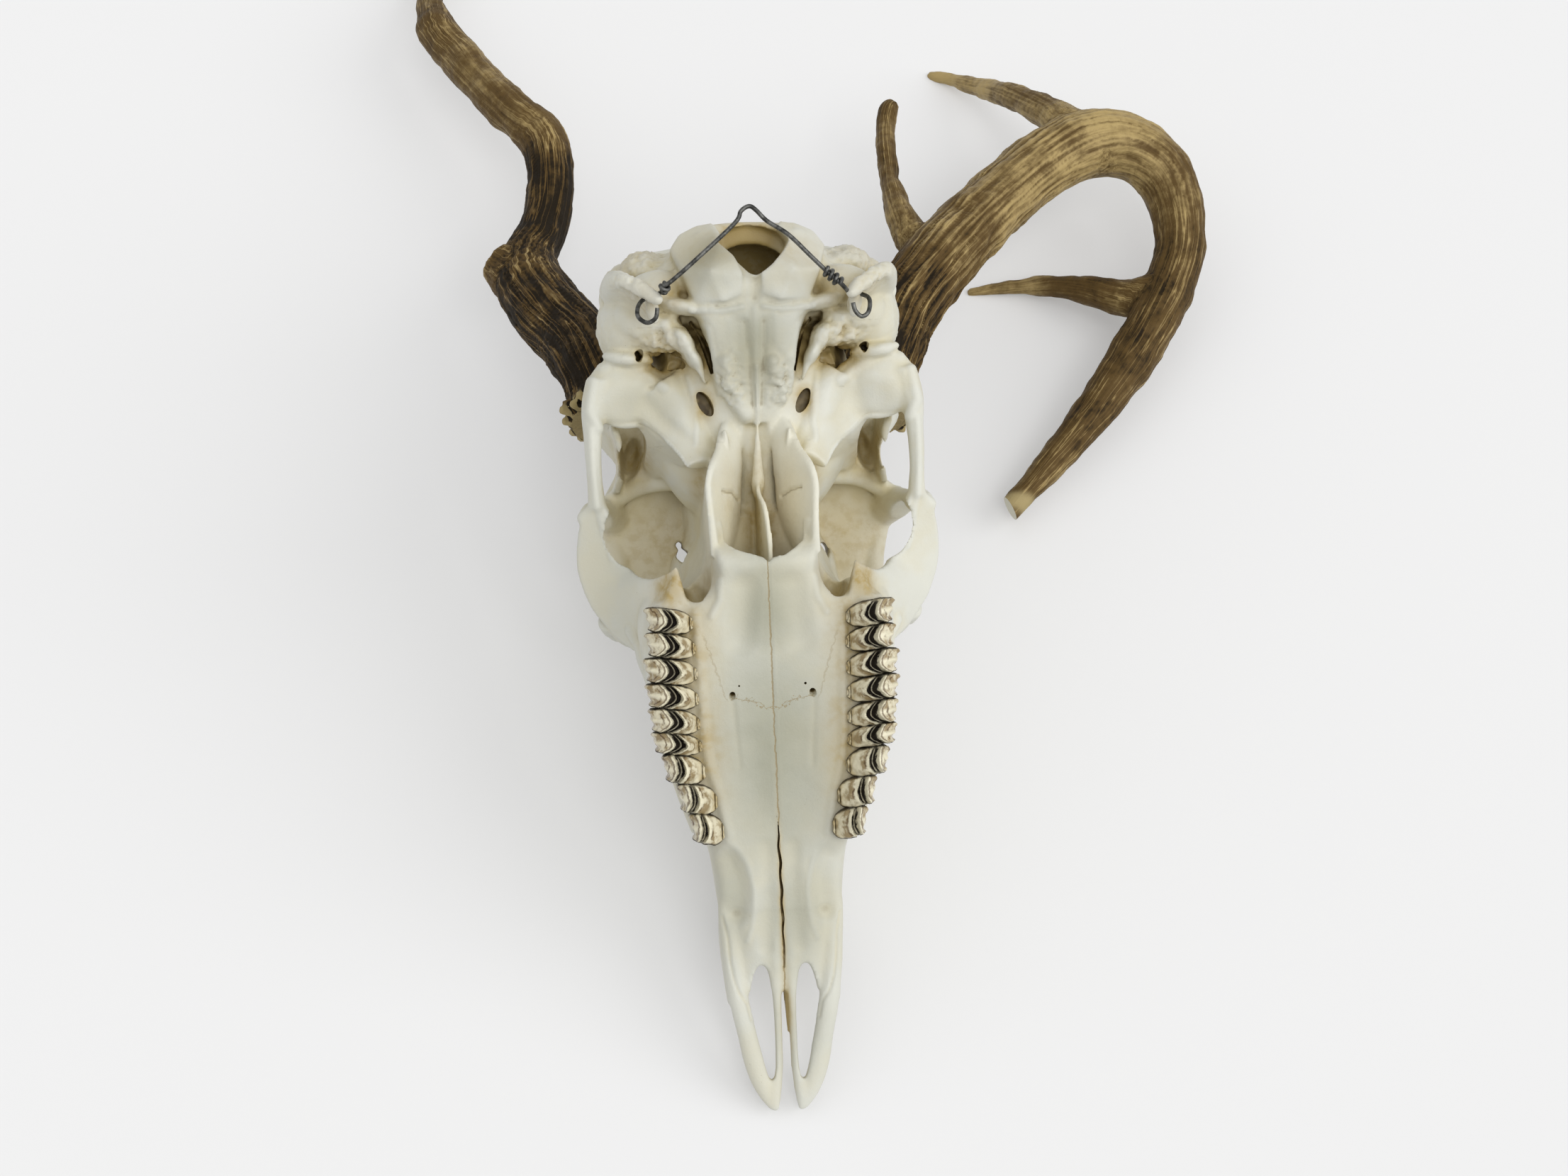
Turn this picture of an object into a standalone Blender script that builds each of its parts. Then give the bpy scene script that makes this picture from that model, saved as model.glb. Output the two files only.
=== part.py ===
"""Skull of a white-tailed deer buck with both antlers, without the lower jaw.

The skull lies upside down, on the tips of its nasal bones and on its antlers.
Sizes are in millimetres in the skull's own axes, with the origin in the midline
of the palate's rear edge: x is sideways (to the animal's right), y runs back
towards the neck, and z runs from the roof of the skull towards the teeth.
"""
import math

import bmesh
import bpy
from mathutils import Matrix, Vector

# Driving dimensions, in millimetres and degrees.
MM = 0.001
REST_TILT = 35.0            # how far the back of the skull is raised
FLOOR_POINT = (-129.0, -46.0)   # y and z of the nasal tips that touch the floor
BOX_MIDDLE = (34.5, 128.5)  # the middle of the model's box from above, before it is centred
VOXEL = 1.3                 # grain of the blended bone
PARTING = 0.3               # gap between two neighbouring pieces
SKULL_FACES = 3600          # faces of the whole skull before it is parted
SIDES = (-1, 1)             # the two halves of the skull
LEFT_FACES, RIGHT_FACES = 520, 860  # faces of each whole antler before it is parted

TOOTH_HEIGHT = 12.0
# Each tooth row from the last molar to the first premolar: the middle of each
# lobe as x and y, with the crown's width and its length along the row.
TOOTH_LOBES = (
    (33.0, -18.5, 14.0, 8.6), (33.0, -26.5, 14.5, 8.6),
    (33.2, -35.0, 15.5, 8.6), (32.6, -43.0, 15.5, 8.6),
    (31.8, -51.0, 15.0, 8.2), (30.4, -58.0, 14.5, 8.0),
    (28.2, -66.5, 12.0, 9.6), (24.6, -76.0, 11.5, 9.8), (21.8, -85.5, 9.6, 9.8))

ORBIT_CENTRE = (52.0, -2.0, -59.0)
ORBIT_RADII = (27.0, 19.5, 19.0)
BURR_MIDDLE = (44.0, 51.5, -96.5)     # where each antler grows from its pedicle
BURR_AXIS = (0.22, 0.83, -0.51)
BURR_BLOCK, BURR_REACH = 30.0, 22.0
WIRE_RADIUS = 0.75

# The antlers' middle lines: x, y, z and the radius, from the burr outwards.
LEFT_BEAM = (
    (-42.6, 46, -92.5, 13.0), (-43.6, 50, -95.5, 17.0), (-44.8, 54.5, -98, 16.6),
    (-46.6, 61, -101.5, 14.6), (-50, 70, -107.5, 13.8), (-56, 80, -122, 13.4),
    (-65, 92, -140, 13.6), (-71, 103, -154, 12.6), (-71, 113, -165, 10.6),
    (-67, 122, -174, 9.2), (-63, 135, -184, 8.8), (-62, 150, -193, 9.0),
    (-65, 163, -202, 9.0), (-77, 175.5, -214, 8.2), (-87, 188, -228, 8.1),
    (-95, 200, -242, 8.2), (-102, 210.5, -252, 7.8), (-105, 222, -266, 5.6),
    (-104.6, 235, -283, 4.4), (-101, 249, -299, 3.6), (-98, 262, -318, 3.0))
LEFT_STUB = ((-66, 96, -147, 11), (-75, 106, -157, 10.6), (-82.0, 112.6, -162.4, 7.6))
RIGHT_BEAM = (
    (42.6, 46, -92.5, 13.0), (43.6, 50, -95.5, 17.0), (44.8, 54.5, -98, 16.6),
    (47, 62, -102, 14.8), (50.6, 71, -108, 14.2), (59, 86, -120, 13.8),
    (72, 101, -134, 13.4), (86, 115, -150, 13.0), (102, 129, -166, 12.6),
    (119, 142, -179, 12.5), (135, 150, -187, 13.0), (150, 151, -190, 12.8),
    (163, 144, -190, 12.0), (170, 131, -187, 10.8), (171, 112, -181, 9.4),
    (165, 95, -175, 9.6), (153, 76, -165, 9.2), (138, 57, -155, 8.2),
    (121, 38.5, -146, 6.5), (97, 16, -137, 4.5))
BROW_TINE = ((84, 112, -148, 9.0), (70, 112.5, -148, 8.0), (65, 121, -154, 5.8),
             (62.8, 134, -168, 4.2), (62.8, 145, -180, 3.8), (63.2, 154, -190, 3.8),
             (64.4, 162, -198, 3.6), (66.4, 168, -201.5, 3.7), (69, 171, -202.5, 2.4))
SECOND_TINE = ((142, 148, -186, 9.5), (133, 158, -192, 8.4), (127, 165, -202, 6.5),
               (117.6, 174, -222, 5.2), (108.6, 181, -245, 4.0), (99, 187.4, -262, 3.2),
               (92, 190.6, -271, 2.4))
THIRD_TINE = ((163, 94, -174, 8.4), (155, 92, -177, 8.0), (145, 93.6, -182, 6.6),
              (132, 97.6, -190, 4.9), (119, 99.6, -199, 3.8), (104, 99.6, -203.6, 2.8),
              (96, 98.8, -205.6, 2.2))
# Where the antlers are parted: the middle, the direction and the cut's radius.
LEFT_CUTS = (((-70.2, 117.5, -169.6), (0.35, 0.75, -0.6), 13),
             ((-64, 157, -198), (-0.2, 0.8, -0.55), 13))
RIGHT_CUTS = (((95, 122.5, -159), (0.62, 0.58, -0.6), 17),
              ((155, 149, -190), (0.9, -0.4, 0), 18),
              ((156.5, 81.5, -168), (-0.5, -0.78, 0.4), 13),
              ((67.5, 121, -152.5), (-0.25, 0.85, -0.47), 10),
              ((132.5, 160.5, -194), (-0.4, 0.6, -0.65), 11),
              ((151, 93, -179), (-0.885, 0.14, -0.44), 12))
LEFT_PIECES = {"antler_left_base": (-56, 80, -122), "antler_left_beam": (-62, 140, -187),
               "antler_left_tip": (-97, 201, -242)}
RIGHT_PIECES = {"antler_right_base": (62, 85, -120), "antler_right_beam": (125, 145, -182),
                "antler_right_bend": (171, 118, -183), "antler_right_tip": (130, 48, -151),
                "antler_right_brow_tine": (64, 140, -168),
                "antler_right_second_tine": (106, 183, -245),
                "antler_right_third_tine": (125, 99, -195)}

# The hanging wire: a loop round each process beside the condyles, and a peak between.
WIRE_PATH = (
    (-31.2, 80.6, -3.6), (-31.9, 77.4, -4.0), (-34.6, 76.1, -4.8), (-37.2, 78.0, -6),
    (-37.4, 80.8, -7.8), (-36.0, 83.4, -10), (-33.2, 85.0, -11), (-30.4, 85.6, -9),
    (-29.4, 86.2, -6), (-29.4, 87.2, -3.8), (-26.5, 88.8, -3.0), (-18.8, 95, -2.6),
    (-5.6, 106.5, -4), (-3.3, 110.4, -4), (-0.6, 111.9, -4), (1.6, 110.5, -4),
    (4.9, 107, -4), (11.4, 102.4, -3), (18.5, 95, -2.6), (23.4, 90.0, -2.8),
    (27.8, 85.9, -3.0), (29.6, 84.2, -5.4), (31, 83.4, -9), (34, 83.4, -11),
    (36.6, 82, -9), (36.9, 79.5, -6.5), (35.9, 76.6, -5), (33.8, 75.6, -4.4),
    (31.9, 77.4, -4.0), (31.2, 80.0, -3.6))

BONE = ("bone", (0.86, 0.83, 0.74), 0.6)
ANTLER = ("antler", (0.30, 0.22, 0.13), 0.55)
STEEL = ("steel wire", (0.25, 0.25, 0.26), 0.35)


# ---------------------------------------------------------------- helpers

def clear_scene():
    for thing in list(bpy.data.objects):
        bpy.data.objects.remove(thing, do_unlink=True)


def new_object(name, mesh):
    thing = bpy.data.objects.new(name, mesh)
    bpy.context.scene.collection.objects.link(thing)
    return thing


def object_from(name, shape):
    mesh = bpy.data.meshes.new(name)
    shape.to_mesh(mesh)
    shape.free()
    return new_object(name, mesh)


def add_egg(shape, centre, radii, turn=(0, 0, 0), detail=3):
    """An ellipsoid with its middle at centre, turned by three angles in degrees."""
    place = Matrix.Translation(Vector(centre) * MM)
    for angle, axis in zip(turn, "XYZ"):
        place = place @ Matrix.Rotation(math.radians(angle), 4, axis)
    place = place @ Matrix.Diagonal((*(r * MM for r in radii), 1))
    bmesh.ops.create_icosphere(shape, subdivisions=detail, radius=1, matrix=place)


def add_rings(shape, rings):
    """A closed skin through rings of points that all have the same number."""
    loops = [[shape.verts.new(Vector(p) * MM) for p in ring] for ring in rings]
    count = len(loops[0])
    for lower, upper in zip(loops, loops[1:]):
        for i in range(count):
            j = (i + 1) % count
            shape.faces.new((lower[i], lower[j], upper[j], upper[i]))
    shape.faces.new(tuple(reversed(loops[0])))
    shape.faces.new(tuple(loops[-1]))


def smooth_path(points, steps):
    """Catmull-Rom curve through points, which may carry any number of values."""
    if steps < 2:
        return [tuple(p) for p in points]
    ends = [points[0]] + list(points) + [points[-1]]
    path = []
    for a, b, c, e in zip(ends, ends[1:], ends[2:], ends[3:]):
        for k in range(steps):
            t = k / steps
            path.append(tuple(
                0.5 * (2 * q + (r - p) * t + (2 * p - 5 * q + 4 * r - s) * t * t
                       + (3 * q - p - 3 * r + s) * t ** 3)
                for p, q, r, s in zip(a, b, c, e)))
    path.append(tuple(points[-1]))
    return path


def add_tube(shape, points, sides=10, steps=3, flat=(1, 1), up=(0, 0, 1)):
    """A tube through (x, y, z, radius) points; flat scales it across and along up."""
    path = smooth_path(points, steps)
    rings = []
    for i, point in enumerate(path):
        here = Vector(point[:3])
        before = Vector(path[max(i - 1, 0)][:3])
        after = Vector(path[min(i + 1, len(path) - 1)][:3])
        ahead = (after - before).normalized()
        across = ahead.cross(Vector(up)).normalized()
        lift = across.cross(ahead)
        ring = []
        for k in range(sides):
            angle = math.tau * k / sides
            ring.append(here + point[3] * (flat[0] * math.cos(angle) * across
                                           + flat[1] * math.sin(angle) * lift))
        rings.append(ring)
    add_rings(shape, rings)


def add_loft(shape, stations, steps=3):
    """A symmetric body through half outlines: (y, ((x, z), ...)) from belly to roof."""
    flat = [(y, *(value for point in half for value in point)) for y, half in stations]
    rings = []
    for row in smooth_path(flat, steps):
        y, values = row[0], row[1:]
        half = list(zip(values[::2], values[1::2]))
        ring = [(x, y, z) for x, z in half]
        ring += [(-x, y, z) for x, z in reversed(half) if x > 0.01]
        rings.append(ring)
    add_rings(shape, rings)


def add_prism(shape, outline, low, high, side=1):
    """A flat-sided block over an (x, y) outline, from z = low to z = high."""
    add_rings(shape, [[(side * x, y, low) for x, y in outline],
                      [(side * x, y, high) for x, y in outline]])


def closed(thing):
    """Turn the faces of a joined shape outwards."""
    shape = bmesh.new()
    shape.from_mesh(thing.data)
    bmesh.ops.recalc_face_normals(shape, faces=shape.faces)
    shape.to_mesh(thing.data)
    shape.free()
    return thing


def settle(thing):
    """Replace the object's mesh by what its modifiers make of it."""
    graph = bpy.context.evaluated_depsgraph_get()
    mesh = bpy.data.meshes.new_from_object(thing.evaluated_get(graph))
    thing.modifiers.clear()
    thing.data = mesh
    return thing


def blend(thing, voxel=VOXEL, rounds=2):
    """Melt overlapping shapes into one skin."""
    melt = thing.modifiers.new("melt", "REMESH")
    melt.mode = "VOXEL"
    melt.voxel_size = voxel * MM
    ease = thing.modifiers.new("ease", "SMOOTH")
    ease.factor = 0.5
    ease.iterations = rounds
    return settle(thing)


def combine(thing, other, operation):
    cut = thing.modifiers.new("cut", "BOOLEAN")
    cut.operation = operation
    cut.solver = "EXACT"
    cut.object = other
    return settle(thing)


def drop(thing):
    bpy.data.objects.remove(thing, do_unlink=True)


def thin_out(thing, faces):
    now = len(thing.data.polygons) * 2
    less = thing.modifiers.new("less", "DECIMATE")
    less.ratio = min(1.0, faces / now)
    return settle(thing)


def copy_of(thing, name):
    return new_object(name, thing.data.copy())


def cell(name, planes, reach=400.0):
    """The convex region behind every plane, given as (point, outward normal)."""
    shape = bmesh.new()
    bmesh.ops.create_cube(shape, size=2 * reach * MM)
    for point, normal in planes:
        normal = Vector(normal).normalized()
        spot = (Vector(point) - normal * PARTING / 2) * MM
        everything = shape.verts[:] + shape.edges[:] + shape.faces[:]
        bmesh.ops.bisect_plane(shape, geom=everything, plane_co=spot, plane_no=normal,
                               clear_outer=True)
        rim = [edge for edge in shape.edges if edge.is_boundary]
        bmesh.ops.holes_fill(shape, edges=rim, sides=0)
    bmesh.ops.recalc_face_normals(shape, faces=shape.faces)
    return object_from(name, shape)


def rest_placement():
    """From the skull's own axes to the world, with the floor at z = 0."""
    turn = Matrix.Rotation(math.radians(REST_TILT), 4, "X")
    tips = turn @ Vector((0, FLOOR_POINT[0], FLOOR_POINT[1]))
    shift = Vector((-BOX_MIDDLE[0], -BOX_MIDDLE[1], -tips.z))
    return Matrix.Translation(shift * MM) @ turn


def shave(thing):
    """Give a piece that meets the floor a small flat there."""
    shape = bmesh.new()
    shape.from_mesh(thing.data)
    if min(vert.co.z for vert in shape.verts) < 0:
        everything = shape.verts[:] + shape.edges[:] + shape.faces[:]
        bmesh.ops.bisect_plane(shape, geom=everything, plane_co=(0, 0, 0),
                               plane_no=(0, 0, -1), clear_outer=True)
        rim = [edge for edge in shape.edges if edge.is_boundary]
        flats = bmesh.ops.holes_fill(shape, edges=rim, sides=0)["faces"]
        bmesh.ops.triangulate(shape, faces=flats)
        shape.to_mesh(thing.data)
    shape.free()


def finish(thing, look):
    """Lay a finished piece in its resting place, with its material."""
    name, colour, roughness = look
    thing.data.transform(rest_placement())
    shave(thing)
    material = bpy.data.materials.new(thing.name + " " + name)
    material.use_nodes = True
    shader = material.node_tree.nodes["Principled BSDF"]
    shader.inputs["Base Color"].default_value = (*colour, 1)
    shader.inputs["Roughness"].default_value = roughness
    shader.inputs["Metallic"].default_value = 1.0 if look is STEEL else 0.0
    thing.data.materials.clear()
    thing.data.materials.append(material)
    thing.data.shade_smooth()
    thing.data.set_sharp_from_angle(angle=math.radians(50))


# ---------------------------------------------------------------- the bones

def add_braincase(shape):
    add_egg(shape, (0, 52, -58), (35, 44, 31))
    add_egg(shape, (0, 88, -55), (41, 19, 32))
    for s in SIDES:
        add_egg(shape, (s * 40, 78, -46), (10, 14, 17))
        add_egg(shape, (s * 27.5, 72, -27), (5.5, 7, 6.5))
        add_egg(shape, (s * 33, 66, -38), (8, 10, 9))
    # The bone below the brain, from the condyles to its narrow front end.
    add_loft(shape, (
        (94, ((0, -24), (16, -22), (18, -30), (12, -40), (0, -42))),
        (86, ((0, -15), (15, -17), (17, -28), (12, -38), (0, -40))),
        (76, ((0, -19), (12, -19), (14, -28), (12, -38), (0, -40))),
        (66, ((0, -20), (11.5, -18), (12.5, -28), (12, -38), (0, -40))),
        (55, ((0, -24), (7.5, -24), (9, -32), (12, -42), (0, -44))),
        (44, ((0, -28), (3.5, -29), (7, -34), (12, -44), (0, -46)))))


def add_occiput(shape):
    for s in SIDES:
        add_egg(shape, (s * 20, 98.5, -23), (12.5, 11, 13), (0, 0, s * -22))
        add_egg(shape, (s * 11, 89, -18), (9, 6, 7))
        add_tube(shape, ((s * 42, 95, -40, 8), (s * 40.5, 92, -24, 6.6),
                         (s * 37, 88, -13, 5.4), (s * 31.5, 83, -4, 3.2)),
                 flat=(1.25, 0.75), up=(0, 1, 0.3))
        # The crest where the neck muscles ended.
        add_tube(shape, ((s * 45, 84, -42, 4), (s * 41, 94, -58, 4),
                         (s * 28, 101, -74, 4), (0, 104, -85, 4.5)), up=(0, 1, 0))
    add_egg(shape, (0, 95, -62), (30, 12, 22))


def add_cheek(shape):
    for s in SIDES:
        # The jaw joint and the slope from it to the plates beside the nose.
        add_egg(shape, (s * 41.4, 56.5, -39), (13.2, 12.3, 6.8), (0, s * -6, 0))
        add_egg(shape, (s * 40.5, 67, -34.8), (9, 3, 5.4))
        add_tube(shape, ((s * 47, 55, -39, 8.4), (s * 37, 55, -39.5, 9), (s * 28, 48, -37.5, 8),
                         (s * 21.5, 37, -32, 6.6)), up=(0.4, 0, 1), flat=(1.2, 0.6))
        # The wall below it, which falls to the ledge behind the orbit.
        add_tube(shape, ((s * 30, 48, -40, 8), (s * 30, 38, -54, 8), (s * 30, 30, -66, 7)),
                 up=(0, 1, 0.6), flat=(1, 0.8))
        # The cheek under the eye, the arch and the bar behind the eye.
        add_egg(shape, (s * 49.5, -6, -41), (9.6, 20, 9), (0, 0, s * -20))
        add_egg(shape, (s * 41, -18, -35), (9, 13, 14), (0, 0, s * -20))
        add_tube(shape, ((s * 50, 60, -37, 5), (s * 53, 46, -36, 4.6),
                         (s * 53, 30, -35, 4.2), (s * 54.5, 12, -37, 4.8),
                         (s * 55.5, -4, -38, 5.2), (s * 52, -17, -39, 6),
                         (s * 43, -26, -35, 6.5)), flat=(0.75, 1.2))
        add_tube(shape, ((s * 54, 17, -37, 3.8), (s * 54, 17, -54, 3.6),
                         (s * 50.5, 17.4, -70, 4.2), (s * 45, 16, -84, 5.6)),
                 up=(0, 1, 0), flat=(1, 1.2))
        # The front rim of the orbit.
        add_tube(shape, ((s * 50, -18, -42, 4.4), (s * 47, -22, -56, 4),
                         (s * 42.4, -19, -72, 4.4), (s * 42, -4, -81, 4.2),
                         (s * 45, 12, -84, 4.4)), up=(1, 0, 0))


def add_forehead(shape):
    add_loft(shape, (
        (-46, ((0, -64), (22, -62), (27, -66), (24, -74), (0, -78))),
        (-26, ((0, -70), (30, -66), (39, -70), (34, -80), (0, -85))),
        (-3, ((0, -76), (30, -76), (41, -80), (38, -86), (0, -90))),
        (18, ((0, -78), (40, -78), (50, -82), (44, -90), (0, -92))),
        (34, ((0, -78), (36, -78), (43, -82), (38, -92), (0, -94))),
        (56, ((0, -78), (28, -78), (36, -82), (30, -90), (0, -94))),
        (84, ((0, -72), (20, -74), (28, -76), (24, -84), (0, -90)))))
    for s in SIDES:
        add_tube(shape, ((s * 29, 27, -76, 12), (s * 34.5, 40, -87, 11.6),
                         (s * 44, 55, -98, 12)), sides=16)


def add_face(shape):
    add_loft(shape, (
        (8, ((0, -30), (14, -24), (17, -22), (18, -30), (19, -45), (19, -60), (21, -82), (0, -86))),
        (0, ((0, 0), (15, 0), (17.5, -4), (19, -20), (24, -40), (28, -60), (28, -80), (0, -86))),
        (-10, ((0, 0), (20, 0), (34, 1), (38, -12), (41, -32), (34, -60), (28, -80), (0, -85))),
        (-24, ((0, 0), (24, 0), (36, 1), (41, -12), (43, -34), (40, -60), (30, -78), (0, -83))),
        (-46, ((0, 0), (23, 0), (36, 1), (39, -12), (36, -34), (30, -56), (22, -70), (0, -76))),
        (-66, ((0, 0), (20, 0), (31, 1), (34, -12), (29, -32), (24, -48), (17, -60), (0, -66))),
        (-84, ((0, 0), (15, 0), (25, 1), (27, -10), (24, -26), (20, -42), (14, -52), (0, -59))),
        (-98, ((0, 0), (13, -1), (18, -1), (22, -10), (20, -24), (17, -38), (12, -48), (0, -54))),
        (-112, ((0, -2), (13, -1), (18, -2), (21, -10), (19, -22), (16, -34), (12, -44), (0, -50)))))
    # The roof of the mouth in front of the tooth rows.
    add_loft(shape, (
        (-104, ((0, -1), (10, -1.5), (18, -2.5), (19, -7), (9, -8), (0, -8))),
        (-120, ((0, -3), (9, -3), (17, -3.5), (18.5, -8), (9, -8.5), (0, -8.5))),
        (-132, ((0, -4.5), (6, -4.5), (9, -4.5), (9, -8), (6, -8.5), (0, -8.5)))))
    for s in SIDES:
        # The spike behind the last molar.
        add_tube(shape, ((s * 33, -12, -8, 8), (s * 30.5, -6, -7, 4.5),
                         (s * 28.5, -1.5, -6, 1.6)))


def add_nasals(shape):
    for s in SIDES:
        add_tube(shape, ((s * 8, -38, -70, 8), (s * 7.5, -60, -63, 8),
                         (s * 7, -90, -54.5, 7.2), (s * 6.8, -112, -49, 6.6),
                         (s * 6.4, -124, -46, 5.2), (s * 5, -129.5, -46, 2.2)),
                 flat=(1, 0.42))


def add_muzzle(shape):
    for s in SIDES:
        # The outer arm, the inner bar and the rising wing beside the nose.
        add_tube(shape, ((s * 15.4, -102, -7, 5), (s * 16, -122, -7.4, 4.4),
                         (s * 15, -138, -7.6, 3.8), (s * 12.4, -151, -7.6, 3.7),
                         (s * 9.6, -162, -7.8, 3.9), (s * 5, -175.4, -8, 2.4)),
                 flat=(1, 0.8))
        add_tube(shape, ((s * 3.4, -108, -5, 3), (s * 2.6, -128, -5.6, 2.0),
                         (s * 2.4, -150, -7, 1.9), (s * 3.4, -164, -7.8, 2.3),
                         (s * 4.3, -176, -8, 2.0)), flat=(1, 1))
        add_tube(shape, ((s * 17.5, -140, -9, 3), (s * 18, -128, -15, 4.4),
                         (s * 17, -116, -26, 5.2), (s * 14, -106, -40, 5)),
                 up=(1, 0, 0), flat=(1.3, 0.45))
        add_egg(shape, (s * 15, -108, -5), (6, 9, 4))


def add_palate_plates(shape):
    for s in SIDES:
        # The plates beside the rear opening of the nose.
        add_tube(shape, ((s * 17, -4, -4, 4), (s * 17, 8, -10, 4), (s * 18.5, 20, -12, 3.4),
                         (s * 19.5, 28, -12, 3.0), (s * 15, 38, -20, 3.2),
                         (s * 9, 46, -30, 4)), flat=(0.8, 1.3))
        add_rings(shape, [[(s * 14, y, -56), (s * 23, y, -56), (s * (x + 2), y, z),
                           (s * (x - 1.4), y, z)]
                          for y, x, z in ((-6, 17, -3), (8, 17.5, -9), (20, 19, -11),
                                          (30, 18.5, -15), (40, 12, -24), (48, 9, -32))])
    # The thin wall in the midline.
    add_rings(shape, [[(-w, y, -50), (w, y, -50), (w, y, z), (-w, y, z)]
                      for y, w, z in ((-20, 1.2, -8), (0, 1.2, -6), (12, 1.4, -14),
                                      (26, 2.0, -22), (46, 3.2, -29))])


def add_teeth(shape):
    for s in SIDES:
        for x, y, width, length in TOOTH_LOBES:
            lean = s * 8
            add_egg(shape, (s * (x + 0.6), y, 3.0), (width / 2, length / 2 + 0.7, TOOTH_HEIGHT * 0.86),
                    (0, lean, 0), detail=2)


# ---------------------------------------------------------------- the openings

def add_orbit_hollows(shape):
    for s in SIDES:
        add_egg(shape, (s * ORBIT_CENTRE[0], *ORBIT_CENTRE[1:]), ORBIT_RADII)
        # Below the orbit, towards the teeth, and behind it, above the arch.
        add_egg(shape, (s * 37, 10, -45), (16, 14, 33))
        add_egg(shape, (s * 22.5, -5, -14), (5, 15, 17))
        # The hole through the roof of the orbit.
        add_tube(shape, ((s * 23.4, 1, -60, 2.2), (s * 23.4, 2, -100, 2.2)), up=(0, 1, 0))
        # The gap between the arch and the forehead, behind the bar.
        add_prism(shape, ((48, 24), (60, 23), (60, 46), (46.5, 46), (43.5, 38), (43.5, 30)),
                  -84, -42, s)


def add_nose_openings(shape):
    for s in SIDES:
        add_tube(shape, ((s * 8.5, 34, -18, 6), (s * 8.8, 22, -14, 8), (s * 8.6, 10, -13, 7.6),
                         (s * 8.2, -2, -16, 7), (s * 8, -20, -22, 6.5)), flat=(1, 1.2))
        add_egg(shape, (s * 8.2, 18, -10), (8.6, 20, 14))
        # The front of the nose, and the slots in front of the palate.
        add_tube(shape, ((s * 7.5, -136, -26, 10), (s * 7.5, -112, -28, 9),
                         (s * 7, -80, -34, 7)), flat=(0.8, 1.25))
        add_prism(shape, ((7.6, -129.5), (5.6, -131), (4.6, -137), (4.4, -152), (4.8, -164),
                          (6.4, -164.5), (8.2, -156), (10.6, -142), (9.4, -132)), -30, 10, s)


def add_foramen_magnum(shape):
    add_tube(shape, ((1, 120, -30, 11), (1, 104, -34, 10.6), (1, 84, -42, 9)),
             flat=(1.05, 0.95), sides=20)


def make_skull():
    body = bmesh.new()
    for add in (add_braincase, add_occiput, add_cheek, add_forehead, add_face,
                add_nasals, add_muzzle):
        add(body)
    skull = blend(closed(object_from("skull", body)))
    hollows = bmesh.new()
    for add in (add_orbit_hollows, add_nose_openings, add_foramen_magnum):
        add(hollows)
    cutter = blend(closed(object_from("hollows", hollows)), rounds=1)
    combine(skull, cutter, "DIFFERENCE")
    drop(cutter)
    late = bmesh.new()
    late.from_mesh(skull.data)
    for add in (add_palate_plates, add_teeth):
        add(late)
    late.to_mesh(skull.data)
    late.free()
    blend(closed(skull), rounds=3)
    return thin_out(skull, SKULL_FACES)


# ---------------------------------------------------------------- parting the skull

NECK, EARS, CHOANA, BROW, SNOUT = 76, 38, -3, -42, -109   # the cross cuts' places on y
ROOF_LEVEL = -66        # the forehead lies beyond this z
NOSE_SLOPE = 0.30       # and the nasal bones beyond a plane that rises forwards
CHEEK_WIDTH, CHEEK_SLOPE = 41, 0.052


def skull_cells():
    """Each bone's region, as planes (point, normal) that face away from it."""
    def before(y):
        return (0, y, 0), (0, 1, 0)

    def behind(y):
        return (0, y, 0), (0, -1, 0)

    def cheek(side, way):
        return (side * CHEEK_WIDTH, 0, 0), (way * side, way * CHEEK_SLOPE, 0)

    mouth_side = ((0, 0, ROOF_LEVEL), (0, 0, -1))
    roof_side = ((0, 0, ROOF_LEVEL), (0, 0, 1))
    below_nose = ((0, BROW, ROOF_LEVEL), (0, -NOSE_SLOPE, -1))
    nose_side = ((0, BROW, ROOF_LEVEL), (0, NOSE_SLOPE, 1))
    cheeks = (cheek(-1, 1), cheek(1, 1))
    cells = {
        "occiput": (behind(NECK),),
        "braincase": (before(NECK), behind(EARS), mouth_side, *cheeks),
        "sphenoid": (before(EARS), behind(CHOANA), mouth_side, *cheeks),
        "frontal": (before(NECK), behind(BROW), roof_side)}
    for side, word in zip(SIDES, ("left", "right")):
        middle = ((0, 0, 0), (-side, 0, 0))
        cells["zygomatic_" + word] = (before(NECK), mouth_side, cheek(side, -1))
        cells["maxilla_" + word] = (before(CHOANA), behind(SNOUT), mouth_side, below_nose,
                                    middle, cheek(side, 1))
        cells["premaxilla_" + word] = (before(SNOUT), below_nose, middle)
        cells["nasal_" + word] = (before(BROW), nose_side, middle)
    return cells


def make_bones(skull):
    bones = []
    for name, planes in skull_cells().items():
        region = cell("region of " + name, planes)
        bone = copy_of(skull, name)
        combine(bone, region, "INTERSECT")
        drop(region)
        bones.append(keep_largest(bone))
    return bones


# ---------------------------------------------------------------- antlers and wire

def make_antler(side, tubes, faces):
    shape = bmesh.new()
    for points in tubes:
        add_tube(shape, points, sides=14, up=(0.1, 0.2, 1))
    antler = blend(closed(object_from("antler", shape)), rounds=1)
    thin_out(antler, faces)
    block = burr_block(side, -1)
    combine(antler, block, "DIFFERENCE")
    drop(block)
    return keep_largest(antler)


def add_disc(shape, centre, direction, radius, thickness):
    facing = Vector(direction).to_track_quat("Z", "Y").to_matrix().to_4x4()
    place = Matrix.Translation(Vector(centre) * MM) @ facing
    bmesh.ops.create_cone(shape, cap_ends=True, segments=24, radius1=radius * MM,
                          radius2=radius * MM, depth=thickness * MM, matrix=place)


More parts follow.
